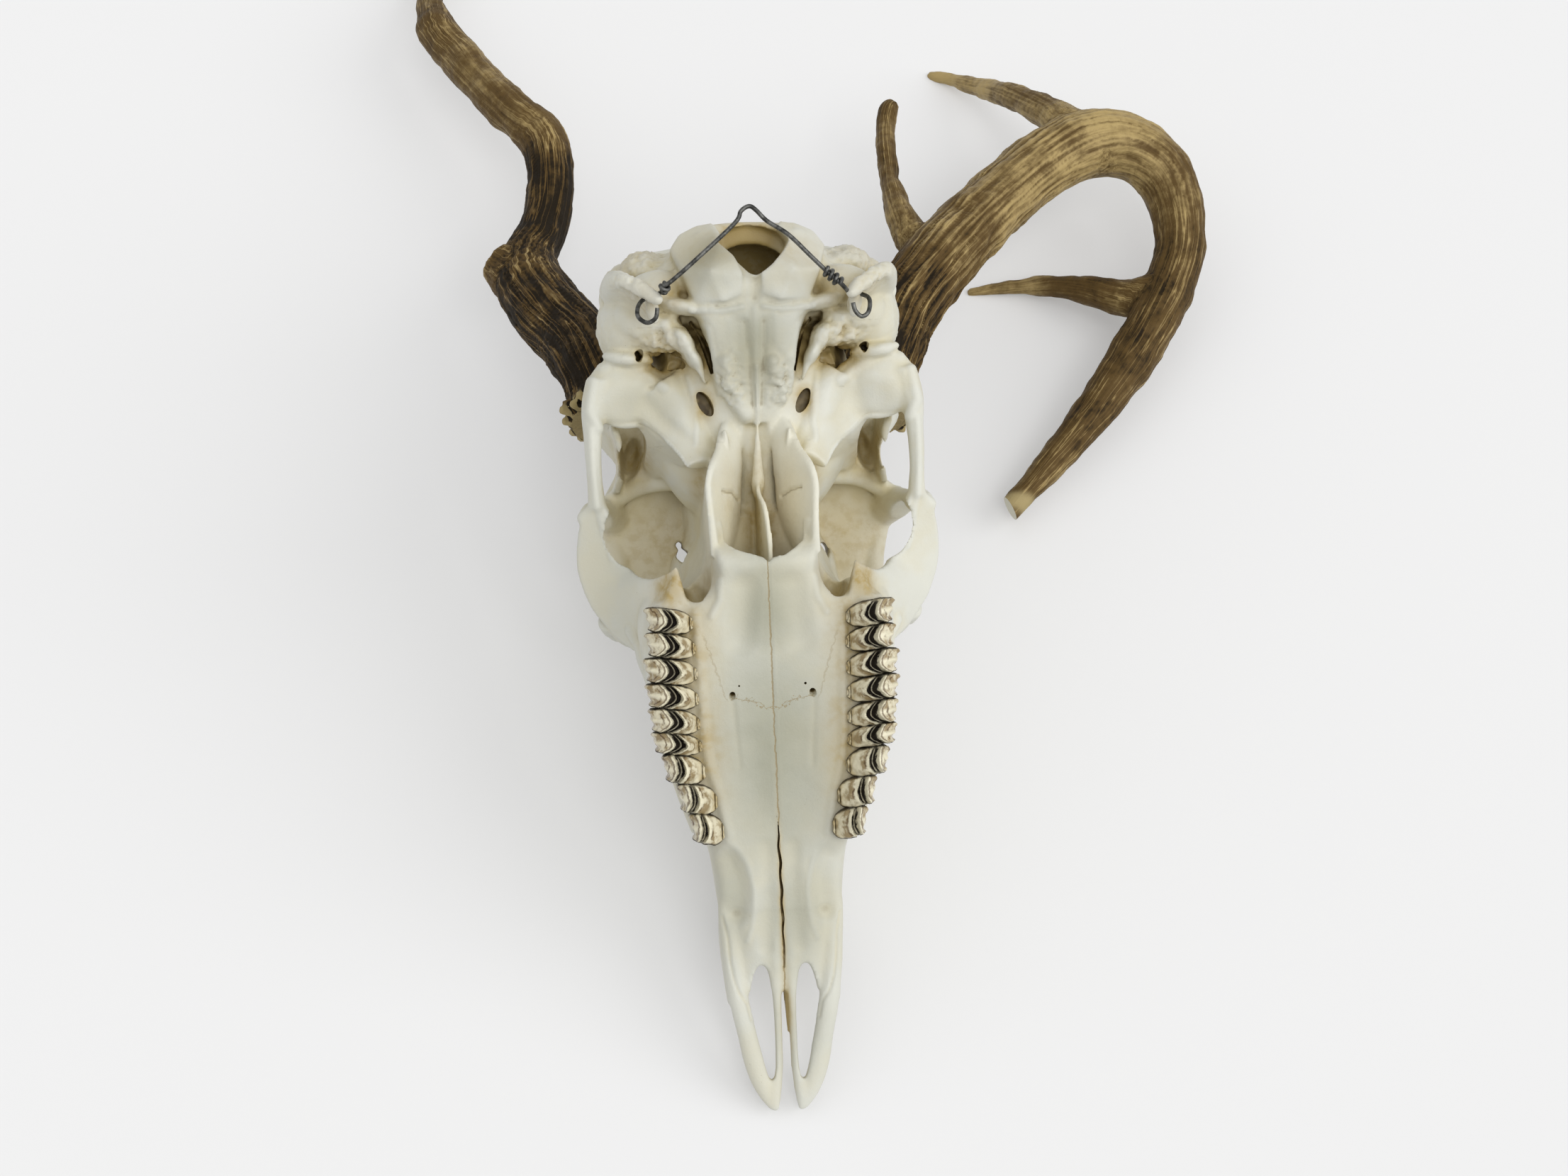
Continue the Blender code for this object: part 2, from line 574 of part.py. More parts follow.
def part_antler(antler, cuts, pieces):
    """Cut the antler at its forks, and name each piece by a point near its middle."""
    for centre, direction, radius in cuts:
        shape = bmesh.new()
        add_disc(shape, centre, direction, radius, PARTING)
        disc = object_from("cut", shape)
        combine(antler, disc, "DIFFERENCE")
        drop(disc)
    parts = []
    for name, spot in pieces.items():
        part = copy_of(antler, name)
        parts.append(keep_nearest(part, spot))
    drop(antler)
    return parts


def body_lists(shape):
    """The separate bodies of a shape, as lists of faces."""
    left = set(shape.faces)
    bodies = []
    for face in shape.faces:
        if face not in left:
            continue
        left.remove(face)
        body, front = [face], [face]
        while front:
            for edge in front.pop().edges:
                for near in edge.link_faces:
                    if near in left:
                        left.remove(near)
                        body.append(near)
                        front.append(near)
        bodies.append(body)
    return bodies


def keep_body(thing, choose):
    """Keep the one body that choose ranks lowest, as clean triangles."""
    shape = bmesh.new()
    shape.from_mesh(thing.data)
    bmesh.ops.remove_doubles(shape, verts=shape.verts, dist=1e-6)
    bodies = sorted(body_lists(shape), key=choose)
    for body in bodies[1:]:
        bmesh.ops.delete(shape, geom=body, context="FACES")
    bmesh.ops.triangulate(shape, faces=shape.faces)
    shape.to_mesh(thing.data)
    shape.free()
    return thing


def keep_largest(thing):
    return keep_body(thing, lambda body: -sum(face.calc_area() for face in body))


def keep_nearest(thing, spot):
    middle = Vector(spot) * MM

    def distance(body):
        return min((face.calc_center_median() - middle).length for face in body)
    return keep_body(thing, distance)


def make_wire():
    shape = bmesh.new()
    add_tube(shape, [(*point, WIRE_RADIUS) for point in WIRE_PATH], sides=6, steps=1,
             up=(0.03, 0.05, 1))
    wire = closed(object_from("hanging_wire", shape))
    sleeve = bmesh.new()
    add_tube(sleeve, [(23.0, 90.3, -2.8, 1.5), (25.4, 88.2, -2.9, 1.9), (28.0, 85.8, -3.0, 1.5)],
             sides=8, steps=1)
    twist = closed(object_from("twist", sleeve))
    combine(wire, twist, "UNION")
    drop(twist)
    return keep_largest(wire)


def wire_clearance():
    """The hole that the wire runs through in the bone."""
    shape = bmesh.new()
    add_tube(shape, [(*point, WIRE_RADIUS + PARTING) for point in WIRE_PATH], sides=6, steps=1,
             up=(0.03, 0.05, 1))
    return closed(object_from("wire clearance", shape))


def burr_block(side, outwards):
    """A thick disc on one side of a burr's plane: +1 antler's side, -1 pedicle's side."""
    axis = Vector((side * BURR_AXIS[0], BURR_AXIS[1], BURR_AXIS[2])).normalized()
    middle = Vector((side * BURR_MIDDLE[0], BURR_MIDDLE[1], BURR_MIDDLE[2]))
    shift = outwards * (BURR_BLOCK / 2 - PARTING / 2)
    shape = bmesh.new()
    add_disc(shape, middle + axis * shift, axis, BURR_REACH, BURR_BLOCK)
    return object_from("burr block", shape)


# ---------------------------------------------------------------- main

def main():
    clear_scene()
    skull = make_skull()
    for cutter in (burr_block(-1, 1), burr_block(1, 1), wire_clearance()):
        combine(skull, cutter, "DIFFERENCE")
        drop(cutter)
    bones = make_bones(skull)
    drop(skull)
    left = make_antler(-1, (LEFT_BEAM, LEFT_STUB), LEFT_FACES)
    right = make_antler(1, (RIGHT_BEAM, BROW_TINE, SECOND_TINE, THIRD_TINE), RIGHT_FACES)
    antlers = (part_antler(left, LEFT_CUTS, LEFT_PIECES)
               + part_antler(right, RIGHT_CUTS, RIGHT_PIECES))
    wire = make_wire()
    for thing in bones:
        finish(thing, BONE)
    for thing in antlers:
        finish(thing, ANTLER)
    finish(wire, STEEL)


main()
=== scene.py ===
"""A white-tailed deer buck's skull with both antlers, as a museum model.

The shapes are worked out in the skull's own axes, in millimetres: x is sideways,
y runs back towards the neck and z from the roof of the skull towards the teeth,
with the origin in the midline of the palate's rear edge. Each finished piece is
then laid in its resting place on the floor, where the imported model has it.
"""

import math

import bmesh
import bpy
import numpy as np
from bpy.props import FloatProperty, FloatVectorProperty, PointerProperty
from mathutils import Matrix, Vector, noise
from mathutils.bvhtree import BVHTree


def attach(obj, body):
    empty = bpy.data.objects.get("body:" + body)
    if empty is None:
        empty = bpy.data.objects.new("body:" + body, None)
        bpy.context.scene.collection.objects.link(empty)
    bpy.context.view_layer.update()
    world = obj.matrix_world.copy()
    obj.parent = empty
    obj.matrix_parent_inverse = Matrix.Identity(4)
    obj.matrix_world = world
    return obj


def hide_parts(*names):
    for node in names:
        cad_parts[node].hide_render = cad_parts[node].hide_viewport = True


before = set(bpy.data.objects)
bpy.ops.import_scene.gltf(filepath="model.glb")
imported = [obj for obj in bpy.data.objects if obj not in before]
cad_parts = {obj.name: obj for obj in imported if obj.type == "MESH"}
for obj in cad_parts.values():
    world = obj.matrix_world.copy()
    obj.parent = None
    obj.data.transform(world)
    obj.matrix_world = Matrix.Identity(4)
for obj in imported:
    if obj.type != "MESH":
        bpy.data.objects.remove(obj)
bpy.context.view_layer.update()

bl_info = {
    "name": "Deer skull",
    "version": (1, 0, 0),
    "blender": (4, 5, 0),
    "location": "3D View > Sidebar > Deer skull",
    "description": "Builds a deer skull with its teeth, antlers and hanging wire",
    "category": "Add Mesh",
}

MM = 0.001
SIDES = (-1, 1)
REST_TILT = 35.0                 # how far the back of the skull is raised
FLOOR_POINT = (-129.0, -46.0)    # y and z of the nasal tips that touch the floor
BOX_MIDDLE = (34.5, 128.5)       # the middle of the model's box from above, in skull axes
QUICK = 1.0    # the skins' cells are coarser while trying things out


# ---------------------------------------------------------------- settings

def colour_setting(name, description, default):
    return FloatVectorProperty(name=name, description=description, default=default,
                               subtype="COLOR", min=0, max=1)


class SkullSettings(bpy.types.PropertyGroup):
    """Sizes and colours of the bone."""
    grain: FloatProperty(name="Grain", description="Cell size of the bone's skin, in millimetres",
                         default=0.64, min=0.5, max=3.0)
    plate: FloatProperty(name="Thin plates", description="Half the thickness of the thinnest "
                         "plates, in millimetres", default=0.85, min=0.5, max=2.0)
    white: colour_setting("Clean bone", "Colour of clean, dry bone", (0.585, 0.585, 0.52))
    # The grey colour is real grey on the palate and the midline, and painted shade on the left side
    # of the skull, away from the key light.
    grey_and_shade: colour_setting("Dull bone", "Colour of the bone where it is greyer", (0.30, 0.30, 0.23))
    # Painted light: this pale colour is painted where light is made to reach into the hollows.
    pale: colour_setting("Pale bone", "Colour of the thin bone inside the hollows",
                         (0.84, 0.78, 0.58))
    # Cream is partly fat left in the bone, in patches, and partly painted shade where the skin is
    # closed in or hollow.
    cream: colour_setting("Cream bone", "Colour of bone with some fat left in it",
                          (0.56, 0.51, 0.345))
    # Ochre is partly stain and partly painted shade in the closed-in places and inside the holes.
    ochre_stain_and_shade: colour_setting("Ochre stain", "Colour of stained bone in sheltered places",
                          (0.37, 0.275, 0.105))
    # Painted shade: the near-black colour at the bottom of the hollows, in the creases and in the
    # small pores.
    deep_shade: colour_setting("Painted deep shade", "Colour at the bottom of the hollows",
                          (0.085, 0.052, 0.012))


class ToothSettings(bpy.types.PropertyGroup):
    """Sizes and colours of the teeth."""
    height: FloatProperty(name="Crown height", description="Height of the outer cusps above "
                          "the palate, in millimetres", default=11.5, min=6, max=16)
    enamel: colour_setting("Enamel", "Colour of clean enamel", (0.68, 0.635, 0.475))
    dentine: colour_setting("Dentine", "Colour of worn, stained dentine", (0.085, 0.045, 0.014))
    # The folds' near-black colour is partly dark deposit and partly painted shade, and it is also
    # painted as shade between the lobes and along the gum line.
    deposit_and_shade: colour_setting("Dark folds", "Colour of the stain in the folds", (0.009, 0.005, 0.002))


class AntlerSettings(bpy.types.PropertyGroup):
    """Sizes and colours of the antlers."""
    grain: FloatProperty(name="Grain", description="Cell size of the antlers' skin, in millimetres",
                         default=0.95, min=0.6, max=4.0)
    dark: colour_setting("Furrows", "Colour of the dark furrows", (0.013, 0.0085, 0.0035))
    brown: colour_setting("Brown", "Colour of the antler's beam", (0.094, 0.056, 0.017))
    tan: colour_setting("Ridges", "Colour of the rubbed ridges and the tips", (0.40, 0.295, 0.125))


class StageSettings(bpy.types.PropertyGroup):
    """The floor, the light and the camera."""
    floor: colour_setting("Floor", "Colour of the plain floor", (0.554, 0.554, 0.554))
    daylight: FloatProperty(name="Daylight",
                            description="Strength of the even light from all round",
                            default=0.60, min=0, max=3)
    key: FloatProperty(name="Key light", description="Strength of the soft light from one side",
                       default=1.30, min=0, max=20)
    front: FloatProperty(name="Front light",
                         description="Strength of the soft light from the camera's side",
                         default=0.90, min=0, max=20)
    glow: FloatProperty(name="Glow", description="Light that comes through the floor",
                        default=0.22, min=0, max=1)
    lens: FloatProperty(name="Lens", description="Focal length of the camera, in millimetres",
                        default=79.6, min=20, max=300, subtype="NONE")


# ---------------------------------------------------------------- shapes

def new_object(name, data):
    thing = bpy.data.objects.new(name, data)
    bpy.context.scene.collection.objects.link(thing)
    return thing


def object_from(name, shape):
    """An object with the shape's mesh, its faces turned outwards."""
    bmesh.ops.recalc_face_normals(shape, faces=shape.faces)
    mesh = bpy.data.meshes.new(name)
    shape.to_mesh(mesh)
    shape.free()
    return new_object(name, mesh)


def drop(thing):
    bpy.data.objects.remove(thing, do_unlink=True)


def egg(shape, centre, radii, turn=(0, 0, 0), detail=4):
    """An ellipsoid with its middle at centre, turned by three angles in degrees."""
    place = Matrix.Translation(Vector(centre))
    for angle, axis in zip(turn, "XYZ"):
        place = place @ Matrix.Rotation(math.radians(angle), 4, axis)
    place = place @ Matrix.Diagonal((*radii, 1))
    bmesh.ops.create_icosphere(shape, subdivisions=detail, radius=1, matrix=place)


def ring_edges(verts):
    return list(dict.fromkeys(edge for vert in verts for edge in vert.link_edges))


def skin(shape, rings):
    """A closed body through rings of points that all have the same number."""
    last = None
    for i, ring in enumerate(rings):
        verts = bmesh.ops.create_circle(shape, segments=len(ring), radius=1)["verts"]
        for vert, point in zip(verts, ring):
            vert.co = point
        edges = ring_edges(verts)
        if i in (0, len(rings) - 1):
            bmesh.ops.contextual_create(shape, geom=edges)
        if last:
            bmesh.ops.bridge_loops(shape, edges=last + edges)
        last = edges


def curve_through(points, steps):
    """Catmull-Rom curve through points, which may carry any number of values."""
    if steps < 2:
        return [tuple(p) for p in points]
    ends = [points[0]] + list(points) + [points[-1]]
    path = []
    for a, b, c, e in zip(ends, ends[1:], ends[2:], ends[3:]):
        for k in range(steps):
            t = k / steps
            path.append(tuple(
                0.5 * (2 * q + (r - p) * t + (2 * p - 5 * q + 4 * r - s) * t * t
                       + (3 * q - p - 3 * r + s) * t ** 3)
                for p, q, r, s in zip(a, b, c, e)))
    path.append(tuple(points[-1]))
    return path


def section_places(path, flat, up):
    """For each (x, y, z, radius) point, the placement of a unit circle across the path."""
    places = []
    for i, point in enumerate(path):
        before = Vector(path[max(i - 1, 0)][:3])
        after = Vector(path[min(i + 1, len(path) - 1)][:3])
        ahead = (after - before).normalized()
        across = ahead.cross(Vector(up)).normalized()
        lift = across.cross(ahead)
        turn = Matrix((across, lift, ahead)).transposed().to_4x4()
        size = Matrix.Diagonal((point[3] * flat[0], point[3] * flat[1], point[3], 1))
        places.append(Matrix.Translation(Vector(point[:3])) @ turn @ size)
    return places


def tube(shape, points, sides=16, steps=4, flat=(1, 1), up=(0, 0, 1)):
    """A rod swept along (x, y, z, radius) points; flat scales it across and along up."""
    places = section_places(curve_through(points, steps), flat, up)
    verts = bmesh.ops.create_circle(shape, cap_ends=True, segments=sides, radius=1,
                                    matrix=places[0])["verts"]
    edges = ring_edges(verts)
    for before, here in zip(places, places[1:]):
        grown = bmesh.ops.extrude_edge_only(shape, edges=edges)["geom"]
        verts = [part for part in grown if isinstance(part, bmesh.types.BMVert)]
        bmesh.ops.transform(shape, matrix=here @ before.inverted(), verts=verts)
        fresh = set(verts)
        edges = [part for part in grown if isinstance(part, bmesh.types.BMEdge)
                 and part.verts[0] in fresh and part.verts[1] in fresh]
    bmesh.ops.contextual_create(shape, geom=edges)


def hull(shape, stations, steps=5):
    """A symmetric body through half outlines: (y, (x, z), (x, z), ...) from belly to roof."""
    rows = [(y, *(value for point in half for value in point)) for y, *half in stations]
    rings = []
    for row in curve_through(rows, steps):
        y, values = row[0], row[1:]
        half = curve_through(list(zip(values[::2], values[1::2])), 3)
        ring = [(x, y, z) for x, z in half]
        ring += [(-x, y, z) for x, z in reversed(half) if x > 0.01]
        rings.append(ring)
    fewest = min(len(ring) for ring in rings)
    skin(shape, [ring for ring in rings if len(ring) == fewest])


def block(shape, outline, low, high):
    """A flat-sided block over an (x, y) outline, from z = low to z = high."""
    skin(shape, [[(x, y, level) for x, y in outline] for level in (low, high)])


def facets(shape, corners):
    """The smallest body with flat faces that holds all its corners."""
    before = set(shape.verts)
    for corner in corners:
        bmesh.ops.create_vert(shape, co=corner)
    fresh = [vert for vert in shape.verts if vert not in before]
    bmesh.ops.convex_hull(shape, input=fresh)


def plate(shape, stations, thick, steps=4):
    """A thin sheet between two edges: each station holds the near and the far edge's point."""
    rows = curve_through([(*near, *far) for near, far in stations], steps)
    edges = [(Vector(row[:3]), Vector(row[3:])) for row in rows]
    rings = []
    for i, (near, far) in enumerate(edges):
        ahead = edges[min(i + 1, len(edges) - 1)][0] - edges[max(i - 1, 0)][0]
        off = (far - near).cross(ahead).normalized() * thick
        rings.append([near + off, near - off, far - off, far + off])
    skin(shape, rings)


class Half:
    """Adds shapes to one side of the skull, with x counted out from the midline."""

    def __init__(self, shape, sign):
        self.shape, self.sign = shape, sign

    def place(self, points):
        return [(self.sign * point[0], *point[1:]) for point in points]

    def egg(self, centre, radii, turn=(0, 0, 0), detail=4):
        turn = (turn[0], self.sign * turn[1], self.sign * turn[2])
        egg(self.shape, self.place([centre])[0], radii, turn, detail)

    def tube(self, points, **form):
        tube(self.shape, self.place(points), **form)

    def plate(self, stations, thick):
        plate(self.shape, [self.place(station) for station in stations], thick)

    def block(self, outline, low, high):
        block(self.shape, self.place(outline), low, high)

    def facets(self, corners):
        facets(self.shape, self.place(corners))


def halves(shape):
    return [Half(shape, side) for side in SIDES]


def settle(thing):
    """Replace the object's mesh by what its modifiers make of it."""
    graph = bpy.context.evaluated_depsgraph_get()
    mesh = bpy.data.meshes.new_from_object(thing.evaluated_get(graph))
    thing.modifiers.clear()
    thing.data = mesh
    return thing


def blend(thing, voxel, rounds=2):
    """Melt overlapping shapes into one skin."""
    melt = thing.modifiers.new("melt", "REMESH")
    melt.mode = "VOXEL"
    melt.voxel_size = voxel
    ease = thing.modifiers.new("ease", "SMOOTH")
    ease.factor = 0.5
    ease.iterations = rounds
    return settle(thing)


def cut_away(thing, cutter):
    """Take the cutter's body out of the object."""
    cut = thing.modifiers.new("cut", "BOOLEAN")
    cut.operation = "DIFFERENCE"
    cut.solver = "MANIFOLD"
    cut.object = cutter
    settle(thing)
    drop(cutter)


def cut_off(shape, point, facing, parts=None):
    """Cut away what lies beyond a plane and close the cut; gives the new faces."""
    parts = parts or shape.verts[:] + shape.edges[:] + shape.faces[:]
    bmesh.ops.bisect_plane(shape, geom=parts, plane_co=point, plane_no=facing, clear_outer=True)
    rim = [edge for edge in shape.edges if edge.is_boundary]
    return bmesh.ops.holes_fill(shape, edges=rim, sides=0)["faces"]


# ---------------------------------------------------------------- carving

def points_of(mesh):
    co = np.empty(len(mesh.vertices) * 3, np.float32)
    mesh.vertices.foreach_get("co", co)
    return co.reshape(-1, 3).astype(np.float64)


def normals_of(mesh):
    normals = np.empty(len(mesh.vertices) * 3, np.float32)
    mesh.vertex_normals.foreach_get("vector", normals)
    return normals.reshape(-1, 3).astype(np.float64)


def edges_of(mesh):
    ends = np.empty(len(mesh.edges) * 2, np.int32)
    mesh.edges.foreach_get("vertices", ends)
    return ends.reshape(-1, 2)


def move_points(mesh, co):
    mesh.vertices.foreach_set("co", co.astype(np.float32).ravel())
    mesh.update()


def store(mesh, name, values):
    """Keep one number or one vector for each vertex, under a name that materials read."""
    kind = "FLOAT_VECTOR" if values.ndim == 2 else "FLOAT"
    layer = mesh.attributes.new(name, kind, "POINT")
    layer.data.foreach_set("vector" if values.ndim == 2 else "value",
                           values.astype(np.float32).ravel())


def relax(values, ends, rounds):
    """Average values with those of their neighbours on the skin, a number of times."""
    count = len(values)
    near = np.bincount(ends.ravel(), minlength=count)
    flat = values.reshape(count, -1).copy()
    for _ in range(rounds):
        for k in range(flat.shape[1]):
            column = flat[:, k]
            total = (np.bincount(ends[:, 0], column[ends[:, 1]], count)
                     + np.bincount(ends[:, 1], column[ends[:, 0]], count))
            flat[:, k] = 0.5 * column + 0.5 * total / np.maximum(near, 1)
    return flat.reshape(values.shape)


def distance_to(co, path):
    """Distance of each point to a path of (x, y) or (x, y, z) points."""
    size = len(path[0])
    spots = np.array(path, float)
    if len(spots) == 1:
        return np.linalg.norm(co[:, :size] - spots[0], axis=1)
    best = np.full(len(co), np.inf)
    for start, end in zip(spots, spots[1:]):
        along = end - start
        t = np.clip((co[:, :size] - start) @ along / max(along @ along, 1e-9), 0, 1)
        best = np.minimum(best, np.linalg.norm(co[:, :size] - start - t[:, None] * along, axis=1))
    return best


def smooth_step(low, high, value):
    t = np.clip((value - low) / (high - low), 0, 1)
    return t * t * (3 - 2 * t)


def stroke_mask(co, normals, path, radius, low=None, high=None):
    """How strongly a stroke along path touches each point: 1 on it, 0 at its radius.

    A path of (x, y) points is drawn from the palate's side, on the skin between the
    levels low and high that faces that way. One of (x, y, z) points needs no levels.
    """
    spots = np.array(path, float)
    size = spots.shape[1]
    near = np.all((co[:, :size] > spots.min(0) - radius) & (co[:, :size] < spots.max(0) + radius),
                  axis=1)
    if size == 2:
        near &= (co[:, 2] > low) & (co[:, 2] < high) & (normals[:, 2] > 0.1)
    mask = np.zeros(len(co))
    where = np.nonzero(near)[0]
    if len(where):
        reach = np.clip(1 - (distance_to(co[where], path) / radius) ** 2, 0, 1)
        mask[where] = reach ** 2
        if size == 2:
            mask[where] *= smooth_step(0.1, 0.5, normals[where, 2])
    return mask


def carve(mesh, strokes):
    """Raise or sink the skin along strokes of (path, radius, height) and any levels."""
    co, normals = points_of(mesh), normals_of(mesh)
    lift = np.zeros(len(co))
    for path, radius, height, *levels in strokes:
        lift += height * stroke_mask(co, normals, path, radius, *levels)
    move_points(mesh, co + normals * lift[:, None])


def both_sides(strokes):
    """The strokes and their mirror images."""
    return list(strokes) + [([(-point[0], *point[1:]) for point in path], *rest)
                            for path, *rest in strokes]


def strength_near(co, places):
    """The strongest of several soft spots, of (middle, radii, amount, on both sides)."""
    strength = np.zeros(len(co))
    for centre, radii, amount, paired in places:
        for side in SIDES if paired else (1,):
            apart = (co - np.array((side * centre[0], *centre[1:]))) / np.array(radii)
            strength = np.maximum(strength, amount * np.exp(-np.einsum("ij,ij->i", apart, apart)))
    return strength


def shelter_of(thing, rays=12, reach=45.0, share=9):
    """How closed in each vertex is, from 0 in the open to 1 deep inside.

    Rays leave only some of the vertices, and the values then spread along the skin.
    """
    co, normals = points_of(thing.data), normals_of(thing.data)
    ends = edges_of(thing.data)
    tree = BVHTree.FromObject(thing, bpy.context.evaluated_depsgraph_get())
    golden = math.pi * (3 - math.sqrt(5))
    fan = []
    for k in range(rays):
        lift = 0.12 + 0.86 * (k + 0.5) / rays
        flat = math.sqrt(1 - lift * lift)
        fan.append(Vector((flat * math.cos(golden * k), flat * math.sin(golden * k), lift)))
    values = np.zeros(len(co))
    weight = np.zeros(len(co))
    for i in range(0, len(co), share):
        normal = Vector(normals[i])
        start = Vector(co[i]) + normal * 0.4
        turn = normal.to_track_quat("Z", "Y")
        shut = total = 0.0
        for ray in fan:
            total += ray.z
            distance = tree.ray_cast(start, turn @ ray, reach)[3]
            if distance is not None:
                shut += ray.z * (1 - 0.5 * distance / reach)
        values[i] = shut / total
        weight[i] = 1.0
    spread = relax(np.stack((values, weight), axis=1), ends, 12)
    return spread[:, 0] / np.maximum(spread[:, 1], 1e-6)


def hollowness(mesh, rounds):
    """How far each vertex lies below the skin around it, in millimetres."""
    co = points_of(mesh)
    return np.einsum("ij,ij->i", relax(co, edges_of(mesh), rounds) - co, normals_of(mesh))


def slice_between(thing, name, low, high):
    """A copy of the part that lies between two levels of y, closed at the cuts."""
    shape = bmesh.new()
    shape.from_mesh(thing.data)
    for level, side in ((low, -1), (high, 1)):
        if level is not None:
            lids = cut_off(shape, (0, level, 0), (0, side, 0))
            bmesh.ops.triangulate(shape, faces=lids)
    mesh = bpy.data.meshes.new(name)
    shape.to_mesh(mesh)
    shape.free()
    return new_object(name, mesh)


def rest_turn():
    """How the resting skull is turned."""
    return Matrix.Rotation(math.radians(REST_TILT), 3, "X")


def rest_placement():
    """From the skull's own axes to the world, with the floor at z = 0."""
    tips = rest_turn() @ Vector((0, *FLOOR_POINT))
    shift = Vector((-BOX_MIDDLE[0], -BOX_MIDDLE[1], -tips.z)) * MM
    return Matrix.Translation(shift) @ rest_turn().to_4x4() @ Matrix.Diagonal((MM, MM, MM, 1))


def lay_down(thing, material, nodes, sharp=60):
    """Put a finished piece in its resting place, on the body it rides with."""
    thing.data.transform(rest_placement())
    shape = bmesh.new()
    shape.from_mesh(thing.data)
    if min(vert.co.z for vert in shape.verts) < 0:
        cut_off(shape, (0, 0, 0), (0, 0, -1))
    shape.to_mesh(thing.data)
    shape.free()
    thing.data.materials.clear()
    thing.data.materials.append(material)
    thing.data.shade_smooth()
    thing.data.set_sharp_from_angle(angle=math.radians(sharp))
    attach(thing, "root")
    if nodes:
        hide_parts(*nodes)


# ---------------------------------------------------------------- the skull's bones

ORBIT_CENTRE = (52.0, -2.0, -60.6)
ORBIT_RADII = (27.0, 19.5, 17.6)

# The rear opening of the nose, as x and y, seen from the palate's side.
CHOANA = ((0.5, 44), (-5, 43.5), (-9.5, 41), (-11.2, 35), (-14.0, 29.8), (-15.4, 23.1),
          (-15.2, 16.9), (-13.6, 11.3), (-12.2, 6.8), (-9.4, 2.8), (-3.5, 0.9), (-0.8, 0.1),
          (0.4, -2.4), (1.6, -0.1), (5.5, 0.1), (9.4, 2.7), (13.3, 7.2), (15.4, 13.3),
          (15.6, 20.7), (14.2, 28.5), (11.4, 35), (9.5, 41), (5, 43.5))

# The great hole that the spinal cord passed through, seen from the palate's side.
GREAT_HOLE = ((-10.6, 102.8), (-8.3, 106.7), (-3.7, 109.1), (0.6, 109.7), (5.8, 108.7),
              (10.3, 106.5), (13.2, 102.9), (11.6, 100), (10, 98), (7, 94.6), (4, 92.2),
              (1.6, 91.2), (-0.6, 92.2), (-4.1, 96.2), (-7.5, 99.8))

# The corners of a condyle: its upper outline, the hole's edge, the blunt edge between its
# two facets, its lower outline and its root.
CONDYLE = ((25.6, 101.5, -31), (22, 107, -34), (16.5, 109.6, -35), (10.8, 110.4, -34),
           (9.6, 103, -21), (4.8, 96.2, -15.2), (2.6, 91.4, -14.6),
           (13.5, 92.8, -12.4), (22.6, 92.6, -19),
           (3.4, 85, -16.0), (9.5, 82.6, -15.2), (18.6, 83.4, -18.8),
           (25, 99, -46), (12, 107, -46), (3, 84, -40), (20, 84, -42))


def add_braincase(shape):
    egg(shape, (0, 52, -58), (35, 44, 31), detail=5)
    egg(shape, (0, 88, -55), (41, 19, 32), detail=5)
    for half in halves(shape):
        half.egg((40, 78, -46), (10, 14, 17))
        half.egg((35, 80, -34), (10, 9, 10))
        # The ear capsule: a long pale lobe with a spur, and the rough bone beside it.
        half.egg((22.6, 71.6, -29.5), (3.3, 6.2, 8), (0, 0, -32))
        half.egg((19.6, 66.2, -29.0), (2.4, 5.2, 7), (0, 0, -34))
        half.tube(((18.4, 65, -26, 1.8), (16.9, 61, -27, 1.2), (15.6, 57, -29, 0.8)))
        half.egg((27.2, 73.2, -31), (2.7, 5.0, 7), (0, 0, -20))
        half.egg((31.5, 71.4, -33), (4.4, 2.4, 7), (0, 0, 24))
        half.egg((28.5, 77.5, -32), (6, 4, 8))
        half.egg((35.5, 72.5, -36), (5, 4, 7))
        # The bony tube of the ear.
        half.tube(((30, 72, -38, 5), (40, 75, -45, 4.2), (47.6, 78, -51, 4.2)), flat=(1, 1.1))
    # The bone below the brain, from the condyles to the rear of the nose.
    hull(shape, (
        (98, (0, -26), (10, -25), (15, -30), (12, -40), (0, -42)),
        (90, (0, -17), (9, -17.5), (16, -21), (16, -30), (0, -38)),
        (83, (0, -17.5), (10, -18), (18.5, -20), (18, -28), (0, -38)),
        (77, (0, -17.5), (9, -18), (15, -19.5), (16, -30), (0, -40)),
        (70, (0, -19), (8, -19.0), (13.6, -21), (14, -31), (0, -40)),
        (62, (0, -20), (7, -20), (12.6, -22.5), (13, -32), (0, -42)),
        (54, (0, -22.5), (6, -23), (10.6, -26), (12, -34), (0, -44)),
        (46, (0, -25.5), (5, -26.5), (8, -30), (11, -38), (0, -46)),
        (38, (0, -29), (3.4, -30), (6, -34), (10, -40), (0, -48)),
        (28, (0, -30.6), (4, -31), (7, -34), (12, -42), (0, -50)),
        (14, (0, -32), (5, -32.4), (9, -36), (13, -44), (0, -54)),
        (0, (0, -33), (5, -33.4), (10, -37), (14, -46), (0, -56))))


